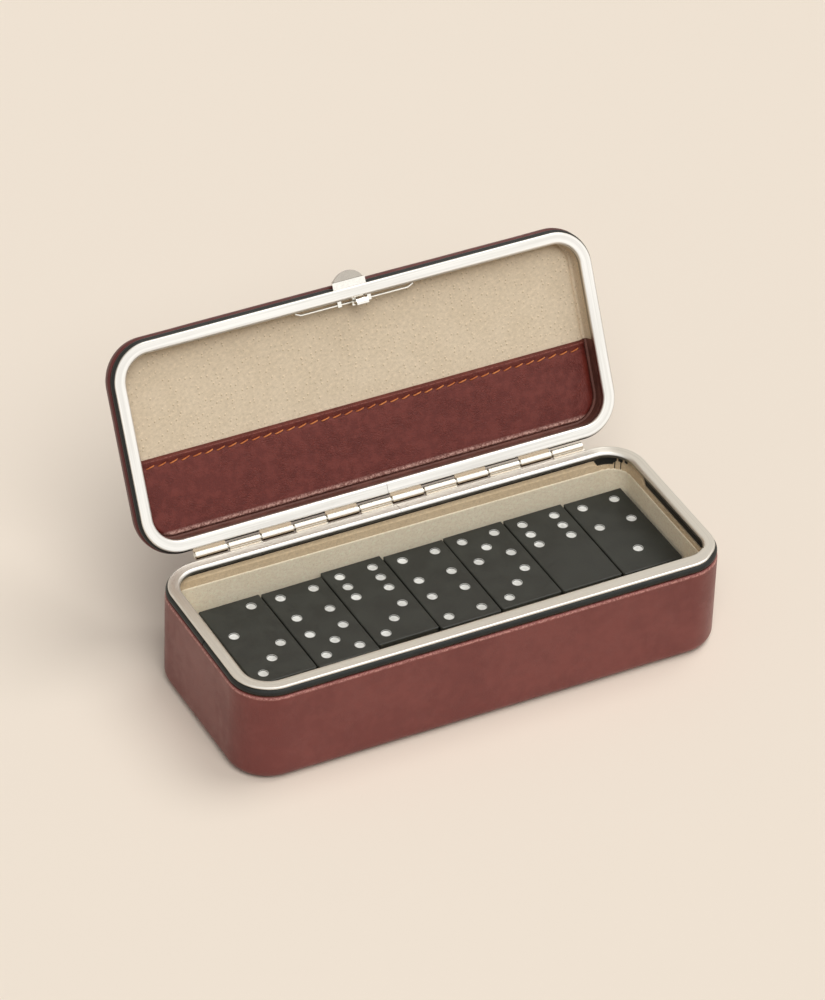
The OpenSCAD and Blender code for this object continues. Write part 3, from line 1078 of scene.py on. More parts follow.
@dataclass(frozen=True)
class PlainNickelFinish:
    """Nickel on small parts, dressed from its place in space."""

    name: str
    color: Color
    roughness: float = 0.2
    painted_reflection: Color | None = None
    reflection_at: float = 0.0
    reflection_reach: float = 40.0
    reflection_core: float = 0.8
    reflection_most: float = 0.85
    cloud_dark: float = 0.93
    depth: float = 0.0008
    rougher: float = 0.06
    smoother: float = 0.04

    def build(self) -> bpy.types.Material:
        """Makes the material."""
        surface = Surface(self.name, self.roughness, metallic=1.0)
        cloud = surface.graph.noise(surface.millimetres(), scale=0.8, detail=3.0)
        fine = surface.graph.noise(surface.millimetres(), scale=9.0, detail=2.0)
        tint = surface.graph.mix(surface.graph.remap(cloud, (0.35, 0.65)),
                                 shade(self.color, self.cloud_dark), self.color)
        # painted reflection: a tan band at one angle round the roll
        if self.painted_reflection:
            tint = surface.graph.mix(self.reflection_share(surface), tint, self.painted_reflection)
        surface.set("Base Color", tint)
        surface.set("Roughness", surface.graph.remap(
            cloud, (0.3, 0.7), (self.roughness - self.smoother, self.roughness + self.rougher)))
        surface.bump(fine, self.depth)
        return surface.material

    def reflection_share(self, surface: Surface) -> Socket:
        """Finds where a roll gets its painted reflection of the tan land and lining. The surface's
        second axis is the angle round it.

        Args:
            surface: The material.

        Returns:
            The socket of the dull colour's share.
        """
        graph = surface.graph
        turn = graph.math("ABSOLUTE", graph.axis(surface.along(), 1))
        away = graph.away(turn, math.radians(self.reflection_at))
        reach = math.radians(self.reflection_reach)
        return graph.remap(away, (reach * self.reflection_core, reach), (self.reflection_most, 0.0))


@dataclass(frozen=True)
class SuedeFinish:
    """Suede with a short nap. Pores are cells to the millimetre, each with painted shade on one
    side and a painted highlight on the other.
    """

    name: str
    dark: Color
    light: Color
    pore: Color
    pores: float = 0.5
    pore_share: float = 0.5
    depth: float = 0.12
    sheen: float = 0.25
    nap_dark: float = 0.86
    nap_light: float = 1.14
    pore_highlight: float = 1.25
    nap_share: float = 0.6
    roughness: float = 0.92

    def build(self) -> bpy.types.Material:
        """Makes the material."""
        surface = Surface(self.name, self.roughness, specular=0.2)
        surface.set("Sheen Weight", self.sheen)
        surface.set("Sheen Roughness", 0.5)
        surface.set("Sheen Tint", self.light)
        nap = surface.group(nap_group(), {"Vector": surface.along(), "Pores": self.pores})
        graph = surface.graph
        base = graph.mix(graph.remap(nap.outputs["Blotch"], (0.3, 0.7), (0.3, 0.75)),
                         self.dark, self.light)
        base = graph.mix(graph.remap(nap.outputs["Nap"], (0.34, 0.5), (self.nap_share, 0.0)),
                         base, shade(self.dark, self.nap_dark))
        base = graph.mix(graph.remap(nap.outputs["Nap"], (0.5, 0.66), (0.0, self.nap_share)),
                         base, shade(self.light, self.nap_light))
        # painted shade and painted highlight on either side of each pore
        base = graph.mix(graph.math("MULTIPLY", nap.outputs["Pores"], self.pore_share), base,
                         self.pore)
        base = graph.mix(graph.math("MULTIPLY", nap.outputs["Flecks"], self.pore_share), base,
                         shade(self.light, self.pore_highlight))
        surface.set("Base Color", base)
        surface.bump(nap.outputs["Height"], self.depth)
        return surface.material


@dataclass(frozen=True)
class PlainFinish:
    """Paint, plastic, board or thread, with a little drift and a fine surface."""

    name: str
    dark: Color
    light: Color
    roughness: float = 0.5
    grain: float = 0.4
    depth: float = 0.01
    specular: float = 0.5
    cloud: float = 0.15
    flecks: float = 0.8
    rougher: float = 0.07
    smoother: float = 0.05

    def build(self) -> bpy.types.Material:
        """Makes the material."""
        surface = Surface(self.name, self.roughness, specular=self.specular)
        colour = surface.group(mottle_group(), {
            "Vector": surface.millimetres(self.cloud), "Dark": self.dark, "Light": self.light,
            "Flecks": self.flecks})
        surface.set("Base Color", colour.outputs["Color"])
        surface.set("Roughness", surface.graph.remap(
            colour.outputs["Share"], (0.0, 1.0),
            (self.roughness - self.smoother, self.roughness + self.rougher)))
        fine = surface.graph.noise(surface.millimetres(1 / self.grain), scale=1.0, detail=3.0)
        surface.bump(fine, self.depth)
        return surface.material


class Finishes:
    """Every material of the box, by slot."""

    def __init__(self, case: Case) -> None:
        """Builds the materials.

        Args:
            case: Shared sizes, for the places of the painted highlights and painted shade on the
                leather.
        """
        warm, bright, painted_reflection = srgb(222, 219, 213), srgb(221, 217, 209), srgb(160, 140, 114)
        # Bands of painted light: lip is a painted highlight along the base leather's top edge, turn
        # a painted highlight where the pocket rounds over, the crest band a painted highlight on
        # the pocket's folded edge, groove painted shade in the sewn groove.
        lip = PaintedBand(case.parting - case.shell_top - 0.5, reach=0.6, color=srgb(196, 140, 130),
                   share=0.95)
        turn = PaintedBand(case.width / 2 - 4.75, reach=1.2, color=srgb(222, 178, 164), share=0.95,
                    on_surface=True)
        crest_highlight = PaintedBand(4.25, reach=0.32, color=srgb(158, 96, 84), share=0.7, on_surface=True)
        groove = PaintedBand(5.9, reach=0.3, color=srgb(66, 24, 18), share=0.6, on_surface=True)
        self.table = {
            Slot.COVERING: CalfFinish("covering_calf", srgb(111, 51, 47), srgb(122, 59, 54),
                                      painted_bands=(lip,)),
            Slot.UNDERSIDE: CalfFinish("underside_calf", srgb(84, 40, 36), srgb(96, 46, 42)),
            Slot.POCKET: CalfFinish("pocket_calf", srgb(90, 32, 25), srgb(107, 42, 33),
                                    roughness=0.4, grain=0.75, depth=0.1, cloud=0.4, specular=0.4,
                                    painted_bands=(turn, crest_highlight, groove)),
            Slot.BOARD: PlainFinish("board", srgb(160, 128, 92), srgb(182, 150, 112),
                                    roughness=0.85),
            Slot.PIPING: PlainFinish("piping", srgb(20, 22, 20), srgb(32, 34, 31),
                                     roughness=0.45, grain=0.3, depth=0.015, specular=0.3),
            # its second colour is the painted reflection of the lining on the flange's inner face
            Slot.NICKEL: NickelFinish("rim_nickel", warm, srgb(122, 108, 88)),
            Slot.BRIGHT: PlainNickelFinish("bright_nickel", bright),
            Slot.WIRE: PlainNickelFinish("wire_nickel", srgb(238, 235, 227), roughness=0.35),
            # The tray's suede is a lighter copy of the lid's suede: painted light for the tray's
            # walls and floor, which lie in the case's shade.
            Slot.SUEDE: SuedeFinish("tray_suede_painted_light", srgb(246, 230, 201), srgb(252, 239, 213),
                                    srgb(206, 182, 148), pores=0.9, pore_share=0.35, depth=0.08),
            Slot.LID_SUEDE: SuedeFinish("lid_suede", srgb(208, 190, 163), srgb(219, 202, 177),
                                        srgb(160, 136, 106), pores=0.6, pore_share=0.6),
            Slot.UPPER_SUEDE: SuedeFinish("upper_suede", srgb(226, 199, 161),
                                          srgb(240, 216, 180), srgb(190, 160, 122),
                                          pore_share=0.1, depth=0.08),
            # Near-black tape under the rims' flanges: its darkness is partly the tape and partly
            # painted shade for the gap under the flange.
            Slot.TAPE: PlainFinish("edge_tape", srgb(28, 28, 25), srgb(42, 42, 38)),
            Slot.DOMINO: PlainFinish("domino_black", srgb(43, 44, 40), srgb(51, 52, 47),
                                     grain=0.25, depth=0.02, specular=0.35),
            Slot.PAINT: PlainFinish("pip_paint", srgb(206, 205, 199), srgb(230, 229, 223),
                                    roughness=0.4, grain=0.5, depth=0.02),
        }
        self.made = {slot: finish.build() for slot, finish in self.table.items()}
        # A darker copy of the covering calf for the lid: painted shade, since the lid's leather is
        # the base's leather seen turned away from the light.
        self.lid_calf_painted_shade = CalfFinish("lid_calf_painted_shade", srgb(84, 35, 32), srgb(95, 41, 37),
                                   specular=0.35).build()
        self.dome = PlainNickelFinish("dome_nickel", srgb(168, 161, 151), roughness=0.22).build()
        # Each knuckle gets a painted reflection of the tan land and lining on one side of its roll.
        self.base_knuckle = PlainNickelFinish("base_knuckle_painted_reflection", bright, painted_reflection=painted_reflection,
                                              reflection_at=180.0, reflection_reach=38.0).build()
        self.lid_knuckle = PlainNickelFinish("lid_knuckle_painted_reflection", bright, painted_reflection=painted_reflection,
                                             reflection_at=54.0).build()
        # A greyer, lighter copy of the pocket leather for the wall that turns down beside the rim:
        # painted highlight and painted reflection of the rim there.
        self.valley_painted_light = PlainFinish("pocket_valley", srgb(88, 52, 43), srgb(110, 70, 60),
                                  roughness=0.6).build()
        self.thread = PlainFinish("stitch_thread", srgb(178, 96, 48), srgb(210, 130, 74),
                                  roughness=0.6, grain=0.15, depth=0.03).build()

    def __getitem__(self, slot: Slot) -> bpy.types.Material:
        """The material of a slot."""
        return self.made[slot]


# ---------- repeats


class Repeats:
    """Geometry Nodes trees that repeat a part in a row or on given points."""

    GEOMETRY, OBJECT, MATERIAL = "NodeSocketGeometry", "NodeSocketObject", "NodeSocketMaterial"
    INTEGER = "NodeSocketInt"

    def __init__(self) -> None:
        """Builds both trees."""
        self.row_tree = self.build("Row of parts", in_row=True)
        self.spot_tree = self.build("Parts on spots", in_row=False)

    def build(self, name: str, in_row: bool) -> bpy.types.NodeTree:
        """Builds one tree.

        Args:
            name: The tree's name.
            in_row: Whether the points are a row made by the tree or come with the object.

        Returns:
            The tree, whose inputs are named for their sizes.
        """
        tree = bpy.data.node_groups.new(name, "GeometryNodeTree")
        sockets = {"Points": self.GEOMETRY, "Part": self.OBJECT, "Finish": self.MATERIAL,
                   "Turn play": FLOAT, "Seed": self.INTEGER}
        if in_row:
            sockets |= {"Count": self.INTEGER, "Start": VECTOR, "Step": VECTOR}
        for label, kind in sockets.items():
            tree.interface.new_socket(label, in_out="INPUT", socket_type=kind)
        tree.interface.new_socket("Parts", in_out="OUTPUT", socket_type=self.GEOMETRY)
        graph = Graph(tree)
        entry = graph.add("NodeGroupInput").outputs
        points = entry["Points"]
        if in_row:
            points = graph.add("GeometryNodeMeshLine", {
                "Count": entry["Count"], "Start Location": entry["Start"],
                "Offset": entry["Step"]}, mode="OFFSET").outputs[0]
        part = graph.add("GeometryNodeObjectInfo", {"Object": entry["Part"]})
        least = graph.add("ShaderNodeMath", {0: entry["Turn play"], 1: -1.0},
                          operation="MULTIPLY").outputs[0]
        play = graph.add("FunctionNodeRandomValue", {2: least, 3: entry["Turn play"],
                                                    "Seed": entry["Seed"]}, data_type="FLOAT")
        turn = graph.add("ShaderNodeCombineXYZ", {2: play.outputs[1]}).outputs[0]
        placed = graph.add("GeometryNodeInstanceOnPoints", {
            "Points": points, "Instance": part.outputs["Geometry"], "Rotation": turn})
        real = graph.add("GeometryNodeRealizeInstances", {0: placed.outputs[0]})
        shown = graph.add("GeometryNodeSetMaterial", {"Geometry": real.outputs[0],
                                                      "Material": entry["Finish"]})
        graph.add("NodeGroupOutput", {0: shown.outputs[0]})
        return tree

    def run(self, name: str, tree: bpy.types.NodeTree, part: Skin, points: np.ndarray,
            finish: bpy.types.Material, values: dict[str, object],
            place: Warp) -> bpy.types.Object:
        """Runs a tree and keeps its result as a plain mesh.

        Args:
            name: Name of the piece.
            tree: Which tree.
            part: The part that repeats, about its own origin, in millimetres.
            points: Points for the tree that needs them, in millimetres.
            finish: Material of the parts.
            values: Values of the tree's other inputs.
            place: Moves the finished points, in millimetres, into the row frame.

        Returns:
            The piece, at the origin.
        """
        pattern = piece_from(f"{name}_pattern", part, finish)
        mesh = bpy.data.meshes.new(name)
        mesh.from_pydata((points * MM).tolist(), [], [])
        holder = bpy.data.objects.new(name, mesh)
        bpy.context.scene.collection.objects.link(holder)
        modifier = holder.modifiers.new("Repeat", "NODES")
        modifier.node_group = tree
        ports = {item.name: item.identifier for item in tree.interface.items_tree
                 if item.in_out == "INPUT"}
        for label, value in {"Part": pattern, "Finish": finish, **values}.items():
            modifier[ports[label]] = value
        depsgraph = bpy.context.evaluated_depsgraph_get()
        result = bpy.data.meshes.new_from_object(holder.evaluated_get(depsgraph))
        holder.modifiers.clear()
        holder.data = result
        bpy.data.objects.remove(pattern)
        places = np.empty(len(result.vertices) * 3)
        result.vertices.foreach_get("co", places)
        places = place(places.reshape(-1, 3) / MM) * MM
        result.vertices.foreach_set("co", places.ravel())
        result.update()
        result.name = name
        return holder


# ---------- covering, rims and piping


@dataclass
class Section:
    """A sub-assembly of the box, with the sizes and finishes that it shares."""

    case: Case
    finishes: Finishes

    def lay(self, name: str, skin: Skin, body: Body, slot: Slot, node: str,
            material: bpy.types.Material | None = None) -> bpy.types.Object:
        """Makes a piece in place of a node of the frame.

        Args:
            name: The piece's name.
            skin: Points in the row frame, in millimetres.
            body: The body it rides on.
            slot: Its material slot.
            node: The node that it replaces.
            material: Its finish, if it isn't the slot's own.

        Returns:
            The piece.
        """
        obj = piece_from(name, skin, material or self.finishes[slot])
        return settle(obj, body.value, slot, [node])

    def dress(self, node: str, slot: Slot) -> None:
        """Gives a node of the frame the finish of a slot."""
        mesh = frame["nodes"][node].data
        mesh.materials.clear()
        mesh.materials.append(self.finishes[slot])


@dataclass
class Shells(Section):
    """Leather of the base and of the lid, with the panel underneath."""

    proud: float = 0.85
    lid_proud: float = 0.95
    leather: float = 1.2
    bottom_round: float = 3.5
    underside: float = 0.3
    turn_in: float = 9.0
    turn_in_thickness: float = 1.0
    wrap_to: float = 0.35
    lip: float = 1.05
    crown_round: float = 5.4
    lid_top: float = 10.0
    lid_crown: float = 0.35
    lid_lip: float = 0.7
    clasp_zone: tuple[float, float] = (-7.0, 6.5)
    clasp_step: float = 0.5
    uneven: float = 0.07
    lid_uneven: float = 0.08
    uneven_size: float = 17.0
    uneven_seeds: tuple[float, float, float] = (3.1, 8.7, 5.3)

    def build(self) -> None:
        """Makes both shells and dresses the board and the underside."""
        self.base_leather()
        self.lid_leather()
        for node in ("base_core", "lid_core"):
            self.dress(node, Slot.BOARD)
        self.dress("bottom_panel", Slot.UNDERSIDE)

    def course(self) -> Course:
        """Fine stations for the leather."""
        return Course.around(self.case.length, self.case.width, self.case.corner,
                             step=2.2, corner_steps=18)

    def base_leather(self) -> None:
        """Leather from the piping down the sides and in under the bottom."""
        top = self.case.shell_top
        depth = self.case.parting - self.underside
        lip = self.leather / 2
        middle = self.wrap_to - lip
        bend = self.bottom_round - self.proud
        inner = self.bottom_round - self.leather
        side_end = depth - self.bottom_round
        profile = (
            arc((middle, top + self.lip), (lip, self.lip), 0, -180, 12)
            + line((-self.proud, top + self.lip + 1), (-self.proud, side_end), 12)
            + arc((bend, side_end), (self.bottom_round, self.bottom_round), 180, 90, 9)
            + [(self.turn_in, depth), (self.turn_in, depth - self.turn_in_thickness)]
            + arc((self.wrap_to + inner, depth - self.turn_in_thickness - inner),
                  (inner, inner), 90, 180, 4)
        )
        skin = sweep(self.course(), profile).moved(self.case.below)
        self.lay("base_leather_skin", self.soften(skin, self.uneven), Body.BASE, Slot.COVERING,
                 "base_leather")

    def lid_leather(self) -> None:
        """Padded leather from the piping up over the lid, thinned where the clasp stands."""
        top = self.case.shell_top
        bend = self.crown_round - self.lid_proud
        inner = self.crown_round - self.leather
        roof = self.lid_top - self.lid_crown
        lip = self.lid_lip
        profile = (
            [(bend, roof - self.leather)]
            + arc((bend, roof - self.leather - inner), (inner, inner), 90, 180, 6)[1:]
            + [(self.wrap_to, roof - self.crown_round), (self.wrap_to, top)]
            + arc((lip - self.lid_proud, top + lip), (lip, lip), -90, -180, 5)
            + arc((bend, roof - self.crown_round), (self.crown_round, self.crown_round), 180, 90,
                  14)
        )
        course = self.course().refined(*self.clasp_zone, self.clasp_step)
        skin = sweep(course, profile, loop=False, crown=self.lid_crown)
        skin = Notch(self.case).cut(skin)
        skin = self.soften(skin.moved(self.case.opened), self.lid_uneven)
        # the lid's leather takes the darker copy of the calf, painted shade
        obj = self.lay("lid_leather_skin", skin, Body.LID, Slot.COVERING, "lid_leather",
                       self.finishes.lid_calf_painted_shade)

    def soften(self, skin: Skin, depth: float) -> Skin:
        """Gives stretched leather its slight unevenness.

        Args:
            skin: The skin.
            depth: Largest movement in millimetres.

        Returns:
            The skin with its points moved a little.
        """
        moved = skin.points.copy()
        for axis, seed in enumerate(self.uneven_seeds):
            moved[:, axis] += depth * ripple(skin.points, self.uneven_size, seed)
        return Skin(moved, skin.faces, skin.uvs)


@dataclass
class Notch:
    """Room for the clasp's collar in the piping and leather of the shut lid."""

    case: Case
    radius: float = 5.35
    x: float = -0.3
    back: float = 0.1

    def cut(self, skin: Skin) -> Skin:
        """Presses the skin's points back behind the collar.

        Args:
            skin: A skin of the shut lid.

        Returns:
            The skin with a recess for the collar.
        """
        moved = skin.points.copy()
        front = -self.case.width / 2
        reach = np.hypot(moved[:, 0] - self.x, moved[:, 2])
        inside = (reach < self.radius) & (moved[:, 1] < front + self.back)
        moved[inside, 1] = front + self.back
        return Skin(moved, skin.faces, skin.uvs)


@dataclass
class Rims(Section):
    """Nickel rims of the base and the lid, and the piping beside them."""

    roll: float = 0.9
    edge: float = 0.4
    bead_in: float = 0.3
    bead_round: float = 0.1
    back_from: float = 0.7
    piping_height: float = 2.3
    piping_out: float = 0.5
    piping_in: float = 0.35
    front_bow: float = 1.0
    least_bow: float = 0.2
    bow_from: float = -70.0
    bow_to: float = 70.0
    bow_in: float = 0.8
    bow_zone: float = 6.0
    base_flange: float = 1.7
    lid_flange_short: float = 0.3
    hook_x: float = 2.0
    hook_room: float = 4.2
    hook_depth: float = 1.05
    base_seam: float = 0.5
    lid_seam: float = -0.35
    piping_seam: float = -2.0
    piping_gap: float = 0.35
    seam: float = 0.1

    def build(self) -> None:
        """Makes both rims and both pipings."""
        case = self.case
        course = Course.around(case.length, case.width, case.corner, corner_steps=20)
        base = self.bowed(sweep(course.parted(self.base_seam, self.seam),
                                self.profile(self.base_flange)))
        lid = sweep(course.parted(self.lid_seam, self.seam),
                    self.profile(case.flange - self.lid_flange_short))
        self.lay("base_rim_strip", base.moved(case.below), Body.BASE, Slot.NICKEL, "base_rim")
        self.lay("lid_rim_strip", lid.moved(case.opened), Body.LID, Slot.NICKEL, "lid_rim")
        self.pipings(course)

    def bowed(self, skin: Skin) -> Skin:
        """Bows the inner edge of the front side in, more towards the right, clear of the hook.

        Args:
            skin: The base's rim.

        Returns:
            The skin with a land that is wider there.
        """
        case = self.case
        moved = skin.points.copy()
        inset = case.width / 2 + moved[:, 1]
        share = np.clip((moved[:, 0] - self.bow_from) / (self.bow_to - self.bow_from), 0, 1)
        ends = np.clip((case.length / 2 - np.abs(moved[:, 0])) / case.corner, 0, 1)
        reach = case.land - self.roll - self.bow_in
        inner = np.clip((inset - self.bow_in) / reach, 0, 1) * (inset < self.bow_zone)
        inner *= ~((moved[:, 2] > self.hook_depth)
                   & (np.abs(moved[:, 0] - self.hook_x) < self.hook_room))
        moved[:, 1] += self.front_bow * (self.least_bow + share) * inner * ends
        return Skin(moved, skin.faces, skin.uvs)

    def profile(self, flange: float) -> Profile:
        """Section of folded sheet: outer bead, land, inner roll and flange.

        Args:
            flange: Depth of the flange below the land.

        Returns:
            The closed section.
        """
        case = self.case
        low, sheet = case.half_gap, case.sheet
        bead, foot = self.bead_round, low + flange
        turn = case.land - self.roll
        return (
            [(self.bead_in, case.bead)]
            + arc((bead, case.bead - bead), (bead, bead), 90, 180, 3)
            + arc((self.edge, low + self.edge), (self.edge, self.edge), 180, 270, 6)
            + line((self.edge + 0.3, low), (turn - 0.2, low), 5)
            + arc((turn, low + self.roll), (self.roll, self.roll), -90, 0, 10)
            + arc((case.land - sheet / 2, foot - sheet / 2), (sheet / 2, sheet / 2), 0, 180, 6)
            + arc((turn, low + self.roll), (self.roll - sheet, self.roll - sheet), 0, -90, 6)
            + [(self.back_from, low + sheet), (self.bead_in, low + sheet)]
        )

    def pipings(self, course: Course) -> None:
        """Makes the black bead between each rim and its leather, with a butt joint at the left.

        Args:
            course: Stations round the case.
        """
        case = self.case
        radius = self.piping_height / 2
        middle = case.bead + radius
        half = math.degrees(math.acos((self.piping_out - self.piping_in) / radius))
        profile = arc((self.piping_out, middle), (radius, radius), 180 - half, 180 + half, 14)
        edge = course.at(0)
        on_right = edge[:, 0] > 0
        left = int(np.argmin(np.abs(edge[:, 1] - self.piping_seam) + on_right * case.length))
        base = sweep(course.turned(left, self.piping_gap), profile).moved(case.below)
        lid = Notch(case).cut(sweep(course, profile)).moved(case.opened)
        self.lay("base_piping_bead", base, Body.BASE, Slot.PIPING, "base_piping")
        self.lay("lid_piping_bead", lid, Body.LID, Slot.PIPING, "lid_piping")


# ---------- linings


@dataclass
class TrayLining(Section):
    """Suede and tape inside the base."""

    felt_top: float = 3.4
    drop: float = 7.1
    upper_drop: float = 3.2
    fold_drop: float = 4.35
    low_drop: float = 5.6
    low_side: tuple[float, float] = (-20.0, 15.0)
    low_corner: tuple[float, float] = (66.0, 73.0)
    low_corner_y: float = 20.0
    pleats_at: tuple[float, float] = (71.0, 28.0)
    pleats_reach: float = 11.0
    pleat_depth: float = 0.3
    pleat_turn: float = 2.1
    edge: float = 0.45
    wall_glue: float = 0.1
    strip_glue: float = 0.14
    strip_in: float = 0.22
    strip_edge: float = 0.2
    swell: float = 0.06
    felt: float = 0.5
    felt_wave: float = 0.02
    floor_corner: float = 6.0

    def build(self) -> None:
        """Makes the linings."""
        self.walls()
        self.upper()
        # the tape's near-black is partly painted shade for the gap under the flange
        self.dress("base_edge_tape", Slot.TAPE)
        self.floor()

    def course(self) -> Course:
        """Stations of the tray, whose corners are tighter than the rim's."""
        return Course.around(self.case.length, self.case.width, self.case.tray_corner,
                             step=1.6)

    def walls(self) -> None:
        """Padded lower lining with a rounded upper edge."""
        case = self.case
        floor = case.parting - self.felt_top
        back, face = case.wall_in + self.wall_glue, case.lining_in
        profile = (
            line((back, floor), (back, self.drop + self.edge), 4)
            + arc((back + self.edge, self.drop + self.edge), (self.edge, self.edge), 180, 270, 4)
            + arc((face - self.edge, self.drop + self.edge), (self.edge, self.edge), -90, 0, 5)
            + line((face, self.drop + self.edge + 0.4), (face, floor), 10)
            + [(face, floor)]
        )
        skin = sweep(self.course(), profile)
        moved = skin.points.copy()
        swell = self.swell * ripple(skin.points, size=9.0, seed=2.2)
        moved[:, :2] += np.sign(moved[:, :2]) * swell[:, None]
        skin = Skin(moved, skin.faces, skin.uvs).moved(case.below)
        self.lay("base_wall_suede", skin, Body.BASE, Slot.SUEDE, "base_wall_lining")

    def upper(self) -> None:
        """Upper lining: a folded strip that stands lower at the right, with pleats in a corner."""
        case = self.case
        back, face = case.wall_in + self.strip_glue, case.lining_in - self.strip_in
        low = self.drop
        soft = self.strip_edge
        profile = (
            [(back, low), (back, self.upper_drop + 0.3)]
            + arc((back + soft, self.upper_drop + soft), (soft, soft), 180, 270, 3)
            + arc((face - 2 * soft, self.upper_drop + soft), (soft, soft), -90, 0, 3)
            + [(face - 0.2, self.fold_drop - 0.15), (face - 0.12, self.fold_drop),
               (face, self.fold_drop + 0.2)]
            + line((face, self.fold_drop + 0.5), (face, low), 4)
            + [(face, low)]
        )
        course = self.course()
        skin = sweep(course, profile)
        strips = skin.points.reshape(len(course.centres), len(profile), 3).copy()
        for station, (x, y) in enumerate(course.at(0)):
            on_right = x > case.length / 2 - 2 and self.low_side[0] < y < self.low_side[1]
            in_corner = self.low_corner[0] < x < self.low_corner[1] and y > self.low_corner_y
            if on_right or in_corner:
                strips[station, :, 2] = np.maximum(strips[station, :, 2], self.low_drop)
            away = math.dist((x, y), self.pleats_at)
            near = max(0.0, 1 - away / self.pleats_reach)
            pleat = self.pleat_depth * near * math.sin(station * self.pleat_turn)
            strips[station, :, :2] += course.normals[station] * pleat
        skin = Skin(strips.reshape(-1, 3), skin.faces, skin.uvs).moved(case.below)
        self.lay("base_upper_suede", skin, Body.BASE, Slot.UPPER_SUEDE, "base_upper_lining")

    def floor(self) -> None:
        """Suede on the floor, a little uneven."""
        case = self.case
        grid = panel_grid(case.length / 2 - case.lining_in, case.width / 2 - case.lining_in,
                          self.floor_corner, columns=90, rows=36, steps=[0.0, 1.0])
        top = np.concatenate([grid, np.full((*grid.shape[:2], 1), self.felt_top)], axis=2)
        bottom = top.copy()
        bottom[..., 2] = self.felt_top - self.felt
        wave = ripple(top, size=7.0, seed=4.4).reshape(grid.shape[:2])
        top[..., 2] += self.felt_wave * wave - self.felt_wave
        self.lay("base_floor_suede", sheet_between(top, bottom), Body.BASE, Slot.SUEDE,
                 "base_floor_lining")


def panel_grid(half_x: float, half_y: float, radius: float, columns: int, rows: int,
               steps: Sequence[float], from_y: float | None = None) -> np.ndarray:
    """Grid of flat points over a rounded rectangle, closer together along its edge.

    Args:
        half_x, half_y: Half of its size.
        radius: Its corner radius.
        columns, rows: Numbers of even columns and rows inside the edge zone.
        steps: Distances from the edge at which the edge zone has points, from 0 up.
        from_y: If given, the grid starts there with an even edge instead.

    Returns:
        An array of rows by columns by X and Y.
    """
    zone = steps[-1]
    back = [half_y - s for s in reversed(steps)]
    front = [-half_y + s for s in steps] if from_y is None else [from_y]
    inner = np.linspace(front[-1], back[0], rows + 2)[1:-1]
    grid = []
    for y in [*front, *inner, *back]:
        over = max(0.0, abs(y) - (half_y - radius))
        reach = half_x - radius + math.sqrt(max(0.0, radius**2 - over**2))
        left = [-reach + s for s in steps]
        middle = np.linspace(-reach + zone, reach - zone, columns + 2)[1:-1]
        grid.append([(x, y) for x in [*left, *middle, *(-x for x in reversed(left))]])
    return np.array(grid)


def edge_distance(grid: np.ndarray, half_x: float, half_y: float, radius: float,
                  steep: float = 1.0) -> np.ndarray:
    """Distance of each point of a grid from the edge of its rounded rectangle.

    Args:
        grid: Points, with X and Y as the last axis.
        half_x, half_y, radius: Half length, half width and corner radius.
        steep: How many times larger distances from the back edge count.

    Returns:
        An array of distances.
    """
    over = np.maximum(np.abs(grid) - [half_x - radius, half_y - radius], 0)
    reach = np.hypot(over[..., 0], over[..., 1])
    behind = np.where(grid[..., 1] > 0, steep, 1.0)
    share = (over[..., 1] / np.maximum(reach, 1e-6)) ** 2
    corner = (radius - reach) * (1 + (behind - 1) * share)
    side = np.minimum(half_x - np.abs(grid[..., 0]), (half_y - np.abs(grid[..., 1])) * behind)
    return np.maximum(np.where((over > 0).all(axis=-1), corner, side), 0)


